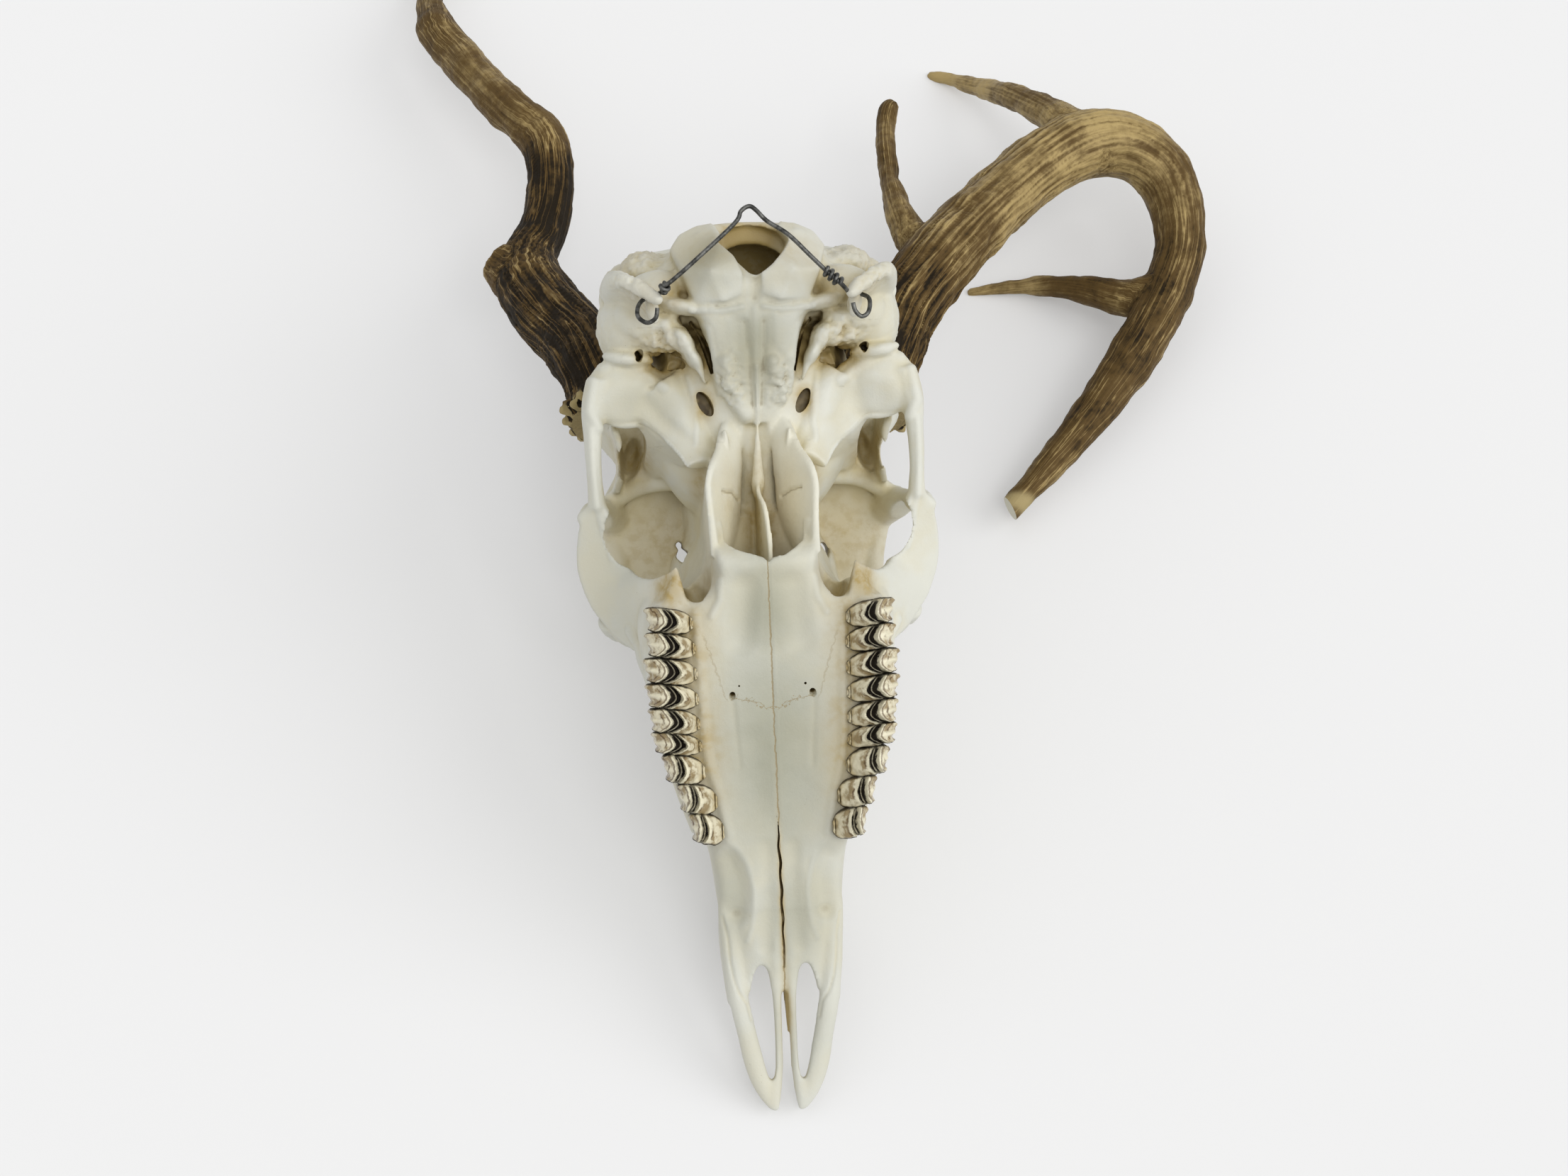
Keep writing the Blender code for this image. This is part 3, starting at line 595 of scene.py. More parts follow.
def add_occiput(shape):
    for half in halves(shape):
        half.facets(CONDYLE)
        # The process beside the condyle, a bar that bends in towards the wire.
        half.tube(((44, 89, -38, 5), (44.2, 90.8, -26, 4.0), (42.8, 91.2, -16, 2.9),
                   (39.4, 89.8, -11.5, 2.4), (35.2, 86.8, -9, 2.5),
                   (31.8, 84.2, -7, 2.2), (30.4, 82.6, -5, 1.6)), up=(0, 1, 0.3))
        half.plate((((43, 91, -16), (46.5, 84, -44)),
                    ((38.5, 88.5, -13), (41, 82, -44)),
                    ((33, 84, -11), (37, 79, -42)),
                    ((31.2, 79.5, -14), (33, 77, -38))), 1.5)
        half.tube(((33, 83, -12, 2.0), (32.4, 79, -11, 1.8), (31.4, 76, -11, 1.1)),
                  up=(1, 0, 0), flat=(0.7, 1.2))
        # The shelf between the process and the condyle.
        half.egg((31, 88, -31), (10.5, 7, 9), (0, 0, -12))
        half.egg((23, 82.5, -25), (8, 2.6, 7), (0, 0, 12))
        # The crest where the neck muscles ended.
        half.tube(((46, 86, -40, 3.4), (42.5, 95, -56, 3.6),
                   (29, 101.5, -73, 3.8), (0, 105, -85, 4.5)), up=(0, 1, 0))
        half.egg((33, 96, -52), (9, 7, 14))
    egg(shape, (0, 95, -62), (30, 12, 22), detail=5)
    egg(shape, (0.5, 96.5, -58), (23, 13.2, 21), detail=5)
    tube(shape, ((0, 106, -82, 3), (0, 107.5, -66, 2.4), (0, 107, -54, 2)), up=(0, 1, 0))
    # The arch over the great hole.
    tube(shape, ((-15, 103, -30, 4), (-11, 106.6, -38, 3.4), (0, 108.6, -43, 2.7),
                 (12, 106.6, -38, 3.4), (16, 103, -30, 4)))
    egg(shape, (0.5, 103, -50), (15, 5.6, 9.5))


def add_cheek(shape):
    for half in halves(shape):
        # The jaw joint and the smooth slope from it to the plates beside the nose.
        half.egg((41.4, 56.5, -39), (13.0, 12.3, 6.8), (0, -6, 0), detail=5)
        half.egg((40.5, 67, -34.8), (8.6, 2.4, 5.0), (0, 0, 8))
        half.tube(((47, 55, -39, 8.4), (37, 56, -39.5, 8.4), (28, 48, -37.5, 6.4),
                   (22, 39, -33, 5), (18.5, 31, -27.5, 4)), up=(0.4, 0, 1),
                  flat=(1.25, 0.62))
        half.tube(((30, 58, -38, 9), (24, 50, -36, 8), (19, 42, -33, 5.5),
                   (16, 34, -31, 4)), up=(0.4, 0, 1), flat=(1.0, 0.6))
        # The wall below it, which falls from a crest to the ledge behind the orbit.
        half.facets(((38, 46, -38), (28.4, 41.6, -35.6), (21.4, 32, -31.5), (20, 27, -58),
                     (25, 26.6, -67), (35, 27.6, -73), (36.6, 40, -50), (30, 54, -38),
                     (18, 44, -34), (20, 50, -66), (36, 50, -66)))
        # The cheek under the eye: a broad sheet from the arch to the spike behind the teeth.
        half.plate((((50.4, 26, -34.5), (54.6, 26, -35.5)),
                    ((49.9, 20, -34), (55.2, 19, -36)),
                    ((47.6, 15.4, -34), (57.6, 14.6, -38)),
                    ((45.6, 10, -34), (59.0, 7.5, -40.5)),
                    ((43.8, 3, -34), (59.2, 0, -42)),
                    ((42, -2.4, -32.5), (57.4, -8.4, -42)),
                    ((38.4, -5, -25), (54, -15.6, -41)),
                    ((34.4, -5.4, -16.5), (49, -21.6, -39)),
                    ((30.8, -3.6, -9), (43.4, -27, -35)),
                    ((28.6, -1.4, -5.6), (38, -30, -30))), 2.0)
        half.egg((42, -18, -41), (8.8, 10, 10), (0, 0, -20))
        half.egg((35, -21, -22), (6.5, 12, 13))
        # The arch behind it, and the bar behind the eye.
        half.tube(((49.6, 60, -38, 5), (52.4, 51, -37, 4.0), (52.8, 42, -36, 3.1),
                   (53.0, 34, -35, 2.7), (52.8, 26, -35, 2.5), (52.4, 18, -35, 3.0)),
                  flat=(1.0, 1.25))
        half.tube(((55, 17.6, -37.5, 3.0), (58.6, 14.4, -37.4, 1.6)), steps=1)
        half.tube(((54.0, 17, -38, 3.2), (54.0, 17, -52, 3.2), (52.4, 17.4, -64, 3.4),
                   (49, 17.4, -75, 4.4), (45, 16, -84, 5.4)), up=(0, 1, 0), flat=(1.2, 1.3))
        # The outer wall of the hollow behind the eye.
        half.plate((((46, 47, -46), (46, 47, -86)),
                    ((43.6, 38, -48), (43.8, 38, -86)),
                    ((43.4, 31, -54), (43.6, 31, -86)),
                    ((45.4, 24, -66), (45.4, 24, -86))), 1.2)
        # The front rim of the orbit.
        spread = 2.8 if half.sign < 0 else 0
        half.tube(((50, -18, -43, 4), (47, -22, -56, 3.8),
                   (42, -19, -72, 4.2), (41 + spread, -4, -81, 4.0),
                   (44 + spread, 12, -84, 4.2)), up=(1, 0, 0))


def add_forehead(shape):
    hull(shape, (
        (-46, (0, -64), (22, -62), (27, -66), (24, -74), (0, -78)),
        (-26, (0, -70), (30, -66), (39, -70), (34, -80), (0, -85)),
        (-3, (0, -76), (30, -76), (41, -80), (38, -86), (0, -90)),
        (18, (0, -78), (40, -78), (50, -82), (44, -90), (0, -92)),
        (34, (0, -78), (36, -78), (43, -82), (38, -92), (0, -94)),
        (56, (0, -78), (28, -78), (36, -82), (30, -90), (0, -94)),
        (84, (0, -72), (20, -74), (28, -76), (24, -84), (0, -90))))
    for half in halves(shape):
        half.tube(((29, 27, -76, 12), (34.5, 40, -87, 11.4), (43.8, 53, -97, 12)), sides=28)
        # The ledge at the back of the orbit's roof.
        half.tube(((50, 20, -76, 4), (38, 26, -73, 3.2), (26, 28, -66, 4),
                   (20, 26, -56, 5)), up=(0, 1, 0))


def add_face(shape):
    hull(shape, (
        (20, (0, -40), (10, -34), (15, -30), (17, -38), (18, -48), (20, -62), (22, -82), (0, -88)),
        (8, (0, -22), (14, -14), (16.6, -10), (17.6, -20), (18, -40), (20, -60), (22, -82),
         (0, -87)),
        (1, (0, 0), (13, 0), (16.2, -2.5), (17.6, -18), (19, -40), (24, -60), (26, -80), (0, -86)),
        (-8, (0, 0), (11, 0), (15.4, -1.5), (19, -12), (24, -34), (27, -60), (27, -80), (0, -85)),
        (-16, (0, 0), (13, 0), (20, -1), (31, -6), (38, -30), (35, -60), (28, -80), (0, -84)),
        (-24, (0, 0), (18, 0), (26, -1), (37, -8), (42, -34), (40, -60), (30, -78), (0, -83)),
        (-46, (0, -1), (17, -0.4), (27, -1), (36.5, -6), (36.5, -34), (30, -56), (22, -70),
         (0, -76)),
        (-66, (0, -1), (15, -0.6), (24, -1), (32, -5), (29, -32), (24, -48), (17, -60), (0, -66)),
        (-84, (0, -1), (12, -0.6), (19, -1), (25.5, -5), (24, -26), (20, -42), (14, -52), (0, -59)),
        (-94, (0, -1.2), (10, -1), (17, -1.6), (21.5, -7), (21, -24), (17.5, -38), (12, -50),
         (0, -56)),
        (-112, (0, -2), (9, -1.6), (15, -3.4), (19.5, -8), (18.6, -22), (16, -34), (12, -44),
         (0, -50))))
    # The roof of the mouth in front of the tooth rows.
    hull(shape, (
        (-104, (0, -1.4), (9.4, -1.2), (15, -3.4), (19.6, -8), (17, -10), (9, -9), (0, -9)),
        (-118, (0, -3), (8.8, -2.6), (13, -4), (18.4, -8), (16, -10), (9, -9), (0, -9)),
        (-130, (0, -4.4), (6, -4.4), (9.4, -4.6), (15, -7), (12, -10), (6, -9), (0, -8.6)),
        (-138, (0, -5.2), (5, -5.2), (8, -5.4), (13, -7.6), (11, -10), (6, -9), (0, -8.6))))
    for half in halves(shape):
        # The swelling over the tooth roots, and the spike behind the last molar.
        half.tube(((31.4, -13, -8, 5.5), (32, -30, -9.6, 7), (31, -52, -9.6, 6.6),
                   (27, -70, -9.6, 5.8), (22.4, -86, -9, 5.2)), flat=(1.0, 1.1))
        half.facets(((28.2, -1.6, -5.4), (25.4, -15.5, -3), (33.5, -14.5, -3), (36.5, -8.5, -17),
                     (29.5, -4.4, -15), (26.2, -12, -16), (30, -15, -18)))
        half.egg((30.6, -14, -26), (8, 7, 18))


def add_nasals(shape):
    for half in halves(shape):
        half.tube(((8, -34, -72.5, 8), (7.5, -60, -63.6, 8),
                   (7, -90, -55, 7.2), (6.8, -112, -49.4, 6.6),
                   (6.4, -124, -46.4, 5.2), (5, -129.5, -46, 2.2)),
                  flat=(1, 0.40), sides=24)


def add_muzzle(shape):
    for half in halves(shape):
        # The outer arm, the inner bar and the rising wing beside the nose.
        half.tube(((12.5, -96, -9, 3.4), (15.4, -108, -8, 4.4), (15.9, -122, -7.8, 3.9),
                   (14.9, -138, -7.6, 3.4), (12.6, -150, -7.4, 3.3),
                   (10.0, -161, -7.6, 3.7), (7.4, -169.5, -7.8, 3.2),
                   (4.6, -175.6, -8, 1.8)),
                  flat=(1, 0.8))
        half.tube(((3.2, -108, -5, 3), (2.5, -126, -5.2, 1.9),
                   (2.4, -138, -6.0, 1.6), (2.5, -152, -7, 1.6), (3.2, -163, -7.6, 2.0),
                   (4.4, -171, -7.8, 2.4), (4.1, -176.8, -8, 1.2)))
        half.tube(((17, -142, -9, 2.6), (17.6, -128, -15, 4.2),
                   (17, -116, -26, 5.2), (14, -106, -40, 5)),
                  up=(1, 0, 0), flat=(1.3, 0.42))


def add_orbit_hollows(shape):
    for half in halves(shape):
        half.egg(ORBIT_CENTRE, ORBIT_RADII, detail=5)
        # Below the orbit, towards the teeth, and behind it, above the arch.
        half.egg((36.5, 10, -45), (15, 14, 33), detail=5)
        half.egg((22.2, -3, -14), (4.6, 11, 17), (0, 0, -8))
        half.egg((22.6, -9.5, -16), (4.2, 8, 15), (0, 0, -14))
        half.egg((39.6, 37, -58), (4.4, 10.6, 23), (0, 0, 10))
        # The holes through the roof of the orbit.
        half.tube(((23.6, 2, -60, 2.0), (23.6, 2.4, -100, 2.0)), up=(0, 1, 0),
                  flat=(1.1, 1.1 if half.sign < 0 else 1.5))
        # The gap between the arch and the forehead, behind the bar.
        half.block(((60, 46), (47.4, 46.4), (45.6, 42), (44.8, 36), (44.8, 30), (46.4, 25.6),
                    (49.5, 23.2), (60, 22.6)), -84, -42.5)
    tube(shape, ((-24.6, 6, -60, 1.2), (-24.6, 6.2, -100, 1.2)), up=(0, 1, 0))


def add_nose_openings(shape):
    block(shape, CHOANA, -8.5, 12)
    hull(shape, (
        (44, (0, -8), (5, -10), (6.5, -20), (4, -28), (0, -29.5)),
        (38, (0, -8), (8, -9), (10.4, -16), (6, -27.5), (0, -30.5)),
        (30, (0, -8), (11, -9), (13.4, -13), (8.5, -25), (0, -32)),
        (22, (0, -8), (12, -9), (15.2, -11), (11.4, -22), (0, -33)),
        (12, (0, -8), (11, -8), (13.8, -11), (11.4, -22), (0, -33.5)),
        (2, (0, -4.5), (8, -5), (11.6, -9), (10.6, -22), (0, -34)),
        (-10, (0, -4), (6.4, -4.6), (9.6, -9), (9.6, -24), (0, -34)),
        (-30, (0, -5), (6, -6), (9, -12), (9, -26), (0, -38))))
    for half in halves(shape):
        # The front of the nose, and the slots in front of the palate.
        half.tube(((7.5, -136, -26, 10), (7.5, -112, -28, 9.4),
                   (7, -80, -34, 7)), flat=(0.8, 1.25), sides=28)
        half.block(((7.6, -129.2), (6.0, -129.8), (4.7, -132.2), (3.9, -138), (3.6, -147),
                    (3.6, -156), (3.7, -163), (4.4, -166.8), (5.7, -166.6), (6.9, -163),
                    (8.3, -156), (9.8, -149), (10.9, -141.5), (10.5, -136.4), (9.3, -131.8)),
                   -30, 10)
        # The window between the frontal, nasal, tear and jaw bones.
        half.egg((22.5, -44, -69), (4.2, 11, 7), (0, 30, 14))


def add_foramen_magnum(shape):
    block(shape, GREAT_HOLE, -42.5, 14)
    egg(shape, (1, 92, -49), (15.5, 12.6, 14))
    egg(shape, (0, 60, -56), (26, 36, 22))


def add_nose_plates(shape, thick):
    for half in halves(shape):
        # The plates beside the rear opening of the nose.
        half.plate((((16.6, 1, -3), (17, 2, -30)),
                    ((16.8, 8, -5.4), (17.2, 10, -36)),
                    ((17.2, 16.5, -7.4), (17, 18, -40)),
                    ((17.6, 23.1, -8.6), (16, 24, -42)),
                    ((16.2, 29.6, -10.6), (13.4, 31, -42)),
                    ((13.4, 35, -18), (11, 36, -42)),
                    ((11.6, 41.5, -25), (9, 42, -42)),
                    ((9.4, 46, -29.4), (8, 46, -42))), thick)
        # Their inner faces slope in to the roof of the opening, below a fine crest.
        half.plate((((15.6, 2, -4.4), (9.6, 2, -27)),
                    ((16.4, 8, -5.8), (7.6, 9, -28)),
                    ((17.0, 16.5, -7.8), (6.2, 17, -28.5)),
                    ((17.2, 23.1, -9.2), (5.8, 24, -28.5)),
                    ((15.8, 29.6, -11.4), (5.4, 31, -28.5)),
                    ((13.2, 35, -18.6), (5.0, 36, -29)),
                    ((11.2, 41.5, -25.6), (4.2, 42, -30.5)),
                    ((9.0, 46, -29.4), (4.0, 46, -31))), thick)
        half.tube(((10.6, 42, -23, 0.9), (9.8, 36, -23, 1.0), (9.2, 29, -26, 1.1),
                   (7.6, 22, -31, 1.0)), flat=(0.8, 1.4))
    # The thin wall in the midline leans to one side at its front.
    plate(shape, (((-0.4, 25, -21), (-0.4, 25, -40)),
                  ((-0.5, 21, -18.5), (-0.6, 21, -40)),
                  ((1.0, 16.3, -14), (-1.2, 16, -40)),
                  ((1.8, 8, -11.4), (-1.6, 8, -40)),
                  ((1.9, 0.8, -9.4), (-1.6, 0, -40)),
                  ((1.0, -20, -8), (-0.6, -20, -44))), thick * 0.9)
    tube(shape, ((0.4, 43.6, -26.4, 0.6), (0.2, 38, -25.6, 1.1), (0, 31, -24.6, 1.7),
                 (-0.3, 24, -23.6, 2.3), (-0.4, 20.4, -26, 1.6)))
    # The thin strip that shows between the two inner bars of the snout.
    tube(shape, ((0.3, -112, -10, 1.3), (0.7, -128, -8.6, 1.2), (0.9, -141, -8.6, 1.1),
                 (1.0, -152, -9.0, 0.6)), flat=(0.9, 1.2))


def add_foramina(shape):
    """The small holes and slots, which are cut sharply after the skin is blended."""
    for half in halves(shape):
        # Beside the bone below the brain: the dark crescent, the oval hole, the ear's hole.
        half.tube(((19.8, 78.0, -29, 0.9), (17.2, 74, -29, 1.15), (15.0, 69, -29, 1.25),
                   (13.7, 64, -29, 1.1), (13.2, 60.4, -29, 0.7)), flat=(1, 6.4))
        half.tube(((16.2, 51, -37.6, 3.0), (15.8, 50.8, -20, 3.0)), up=(half.sign * 0.5, 1, 0.1),
                  flat=(0.72, 1.5), steps=1)
        half.tube(((27.5, 65.6, -41, 3.2), (27.3, 65.4, -22, 3.2)), up=(0, 1, 0),
                  flat=(1.7, 0.86), steps=1)
        half.tube(((24.6, 64.4, -40, 1.7), (24.6, 64.2, -22, 1.7)), up=(0, 1, 0),
                  flat=(1.5, 0.8), steps=1)
        half.tube(((37.4, 67.8, -42, 1.2), (37.0, 67.4, -28, 1.5)), up=(0, 1, 0),
                  flat=(1.0, 1.3), steps=1)
        # The nerve hole in the cheek in front of the teeth, and those of the palate.
        half.tube(((12, -70, -24, 2.6), (22, -73, -23, 2.4), (30, -80, -20, 2.6)), flat=(1, 1.2))
        half.tube(((12.2, -41, -5, 0.9), (12.8, -43.2, -0.6, 1.1), (13, -46, 1.5, 1.2)), sides=10)
        half.tube(((10.5, -40.2, -3, 0.4), (10.6, -40.6, 1, 0.5)), sides=8, up=(0, 1, 0))
        half.tube(((47, 79.4, -46, 2.2), (56, 80.2, -50, 2.6)), sides=14)
    # The slit along the middle of the palate.
    slit = curve_through(((-82, -0.3, 0.10), (-88, 0.1, 0.22), (-92, -0.3, 0.30), (-97, 0.3, 0.42),
                          (-101, -0.1, 0.36), (-106, 0.35, 0.50), (-110, 0.0, 0.34),
                          (-115, 0.4, 0.42), (-119, 0.1, 0.30), (-124, 0.4, 0.36),
                          (-131, 0.2, 0.42)), 3)
    skin(shape, [[(x - w, y, 3), (x + w, y, 3), (x + w, y, -5.2), (x - w, y, -5.2)]
                 for y, x, w in slit])


# Strokes drawn from the palate's side: path, radius, height, and the levels they keep to.
MIDDLE_STROKES = (
    ([(0.6, 80), (0.5, 70), (0.5, 62)], 1.6, 0.3, -34, -10),
    ([(0.5, 62), (0.6, 50), (0.4, 44)], 1.3, 0.8, -34, -10),
    ([(3.4, 76), (2.8, 66), (2.4, 56), (1.8, 50)], 1.8, -0.6, -34, -10),
    ([(-2.6, 76), (-2.0, 66), (-1.6, 56), (-1.0, 50)], 1.8, -0.6, -34, -10),
    ([(1.0, 91), (0.8, 84)], 2.6, -0.9, -30, -8),
    ([(-9.4, 64), (-8.4, 57), (-6.0, 51), (-3.2, 46.6)], 3.4, 1.9, -34, -10),
    ([(6.0, 63), (7.6, 58), (7.8, 52)], 3.4, 1.9, -34, -10),
    ([(0.2, 0), (0.2, -40), (0, -84)], 1.3, 0.3, -6, 4),
    ([(0.2, -1), (0, -40), (0, -84)], 0.8, -0.45, -6, 4),
    ([(-6.6, 19.2), (-8.4, 21.4), (-11.9, 21.9)], 0.9, -0.8, -40, -8),
    ([(7.2, 19.8), (9.6, 21.4), (12.6, 22.1)], 0.9, -0.8, -40, -8),
)
PAIRED_STROKES = (
    # The ridge under each condyle, and the shallow pits beside the crest.
    ([(19.8, 81), (10, 80.0), (3.4, 81.0)], 1.5, 0.8, -30, -8),
    ([(18.4, 77.5), (14.5, 74.6), (12.8, 64), (11.4, 54)], 1.4, 0.6, -34, -12),
    ([(4.6, 76), (4.4, 69)], 3.2, -0.6, -34, -12),
    ([(17, 97.6), (15, 99)], 7, -0.8, -40, -8),
    ([(11, 86.6), (12, 86)], 5, -0.5, -40, -8),
    # The smooth hollow of the jaw joint, its rear lip and the ridge beside the oval hole.
    ([(40, 49), (33, 50)], 10.5, -2.2, -50, -22),
    ([(28, 41), (24, 35)], 7, -1.2, -50, -18),
    ([(49, 64.4), (42, 66), (35, 62), (29, 57)], 2.6, 0.8, -48, -22),
    ([(52.4, 60), (53.8, 50), (50.6, 44.6), (45, 43.4), (38, 42.6), (33, 38)], 2.4, 0.8, -50, -22),
    ([(21, 60), (19.6, 52), (19, 44), (19.6, 38)], 1.6, 0.5, -48, -12),
    # The crest along the arch and the groove above it.
    ([(53.5, 44), (53.4, 30), (52.6, 20), (51, 12), (48.5, 2)], 1.7, 0.5, -44, -22),
    # The palate: nerve grooves, side hollows and the crest in front of the teeth.
    ([(13, -44), (12.4, -54), (11.6, -66)], 1.6, -0.3, -6, 4),
    ([(8, -60), (8, -76)], 9, -0.7, -6, 4),
    ([(17.6, -88.6), (13.6, -92), (10.5, -97), (8.7, -105), (8.7, -112), (9.4, -117),
      (11.2, -121.6)], 1.5, 0.35, -9, 4),
    ([(15.6, -96), (13.7, -102), (13.4, -107), (14.2, -112)], 5.4, -2.0, -12, 4),
    ([(7.6, -10), (8.6, -18), (9.6, -26)], 6.5, -1.2, -6, 4),
    ([(4.2, -92), (4.4, -108), (5.4, -124)], 3.6, -0.6, -9, 4),
    ([(15.2, -7), (15.6, -13), (18.4, -18)], 1.8, 0.6, -6, 4),
    ([(14, 11.3), (12.4, 6.8), (9.6, 2.4), (4, 0.3)], 1.4, 0.4, -12, 4),
    # The seam between the two bones of the snout.
    ([(19.0, -113.9), (17.5, -120.7), (17.0, -128.4), (16.0, -134.1), (14.5, -138.3),
      (11.8, -142), (10.8, -147)], 0.8, -0.5, -14, 0),
    # The sockets round the teeth.
    ([(23.4, -17), (23.0, -30), (22.4, -44), (22.2, -56), (21.4, -64), (18.0, -76),
      (15.8, -88)], 2.2, 0.5, -5, 3),
)
# Strokes in space, on the sides and the roof of the skull: path, radius and height.
ROUND_STROKES = (
    ([(33, -14, -62), (36, -8, -56)], 6, -2.0),
    ([(48, -28, -52), (41, -36, -50)], 6.5, -2.4),
    ([(16, -20, -87), (20, 0, -90), (23, 10, -91)], 3.4, -1.6),
    ([(23, 2, -90)], 4.2, -1.2),
    ([(40, 56, -78), (30, 76, -70), (22, 92, -78)], 2.0, 1.1),
    ([(44, -22, -30), (38, -36, -26), (35, -46, -24), (33, -56, -23)], 2.8, 1.5),
    ([(30, -60, -36), (24, -76, -34), (20, -92, -30)], 5.5, -1.2),
    ([(22.0, -34, -74), (15.6, -40, -76), (14.4, -56, -68), (12.8, -76, -60), (12, -96, -54)],
     1.0, -0.6),
    ([(0, -38, -79), (7, -33, -81), (14, -37, -77), (21, -33, -74)], 0.9, -0.6),
    ([(19.6, -108, -20), (18.6, -112, -32), (15.6, -104, -42), (13, -96, -50)], 1.0, -0.5),
    ([(0, 58, -92), (12, 56, -91), (20, 60, -88), (30, 56, -80)], 0.9, -0.5),
    ([(54.6, 30, -32), (56.2, 22, -34), (58, 16, -38)], 0.8, -0.5),
)
ROOF_STROKES = (
    ([(0, -30, -85), (0, 0, -90), (0, 40, -94), (0, 78, -92)], 0.9, -0.5),
    ([(0, -34, -79), (0, -70, -66), (0, -100, -58), (0, -126, -50)], 0.9, -0.6),
)

# Where the bone is stained, and where ochre is painted as shade inside the holes and hollows: the
# middle, the radii, how much, and whether on both sides.
STAIN_AND_SHADE_PLACES = (
    ((0.5, 14, -27), (6.5, 18, 8), 1.5, False),
    ((10, 16, -22), (6, 18, 10), 0.40, True),
    ((0.1, -108, -4), (0.9, 26, 3.5), 1.3, False),
    ((0.8, -140, -8.5), (1.5, 16, 3.0), 2.2, False),
    ((18.5, 27, -40), (3, 9, 12), 0.8, True),
    ((1, 92, -52), (18, 24, 18), 1.6, False),
    ((1, 105, -42), (11, 5.5, 10), 2.2, False),
    ((28, -26, 0), (8, 24, 5), 1.0, True),
    ((25, -62, 0), (8, 26, 5), 0.9, True),
    ((30, -9, -8), (6, 8, 9), 1.25, True),
    ((26, 87, -24), (6, 8, 9), 0.75, True),
    ((29, 70, -30), (10, 8, 7), 0.6, True),
    ((17.5, 70, -36), (5, 10, 8), 1.0, True),
    ((22, -12, -18), (6, 10, 14), 1.0, True),
    ((30, 6, -77), (24, 18, 9), 0.72, True),
    ((28, 66, -36), (8, 5, 9), 1.8, True),
    ((16, 51, -33), (3.4, 5, 6), 1.5, True),
    ((15, 69, -32), (3.0, 10, 5), 1.5, True),
    ((39, 37, -66), (6, 11, 18), 1.3, True),
    ((13, 100, -22), (14, 9, 14), 0.35, True),
    ((36, 97, -48), (10, 9, 12), 0.5, True),
    ((4, 64, -20), (10, 9, 4), 0.12, True),
    ((34, 84, -16), (8, 9, 10), 0.6, True),
)
# Where the bone is greyer: real grey on the palate and the midline, and painted shade on the left
# side, away from the key light.
GREY_AND_SHADE_PLACES = (
    ((0, -62, 0), (24, 46, 8), 1.0, False),
    ((0, -16, 0), (15, 22, 7), 1.0, False),
    ((4, -112, -4), (15, 26, 7), 0.8, False),
    ((2, -150, -6), (15, 18, 7), 0.5, False),
    ((0, 68, -20), (13, 18, 8), 1.0, False),
    ((-40, 0, -36), (22, 30, 14), 0.45, False),
    ((-34, 54, -36), (18, 16, 9), 0.4, False),
    ((-14, 98, -20), (14, 12, 10), 0.9, False),
    ((-15, -104, -4), (8, 26, 6), 0.7, False),
)
# Where a pool of light is painted in the hollows, so that the bone there is paler and its painted
# shade weaker.
PAINTED_LIGHT_PLACES = (
    ((9, 15, -20), (10, 24, 18), 1.0, False),
    ((-9, 15, -20), (10, 24, 18), 0.5, False),
    ((32, 2, -76), (24, 22, 14), 0.35, True),
    ((40, 38, -62), (8, 12, 18), 0.20, True),
)
# Where the bone's skin is rough: the middle, the radii and the height of the bumps.
ROUGH_PLACES = (
    ((34, 98, -50), (10, 8, 14), 1.5, True),
    ((38, 88, -12), (9, 8, 8), 1.0, True),
    ((28, 72, -30), (9, 8, 9), 1.2, True),
    ((8, 57, -22), (4.4, 9, 5), 1.5, True),
    ((0, 96, -86), (34, 12, 12), 0.5, False),
    ((11, 80, -18), (10, 3, 4), 0.35, True),
    ((30, 84, -26), (6, 4, 8), 0.7, True),
    ((46, 74, -44), (6, 10, 10), 0.6, True),
    ((27, -50, 1), (5, 40, 3), 0.45, True),
    ((44, 50, -96), (15, 12, 14), 0.5, True),
)


# Fine and wide hollows of the skin: rounds of easing, and the depth that counts as full.
HOLLOW_SCALES = ((5, 0.25), (24, 0.9))


def gather(name, adders, *others):
    """One object with what each adder makes and with the meshes of other objects."""
    whole = bmesh.new()
    for add in adders:
        part = bmesh.new()
        add(part)
        mesh = bpy.data.meshes.new(name)
        part.to_mesh(mesh)
        part.free()
        whole.from_mesh(mesh)
        bpy.data.meshes.remove(mesh)
    for other in others:
        whole.from_mesh(other.data)
        drop(other)
    return object_from(name, whole)


def make_bones(grain, thick):
    """The whole skull without its teeth, as one skin in millimetres."""
    skull = blend(gather("skull", (add_braincase, add_occiput, add_cheek, add_forehead, add_face,
                                   add_nasals, add_muzzle)), grain, rounds=6)
    hollows = gather("hollows", (add_orbit_hollows, add_nose_openings, add_foramen_magnum))
    cut_away(skull, blend(hollows, grain, rounds=3))
    skull = blend(gather("skull", (lambda shape: add_nose_plates(shape, thick),), skull),
                  grain, rounds=4)
    cutter = blend(gather("holes", (add_foramina,)), grain * 0.55, rounds=1)
    co = points_of(cutter.data)
    ragged = np.array([noise.noise(Vector(p * 0.42)) for p in co])
    beside = smooth_step(20.0, 22.0, np.abs(co[:, 0]))
    move_points(cutter.data, co + normals_of(cutter.data) * (1.1 * ragged * beside)[:, None])
    cut_away(skull, cutter)
    return skull


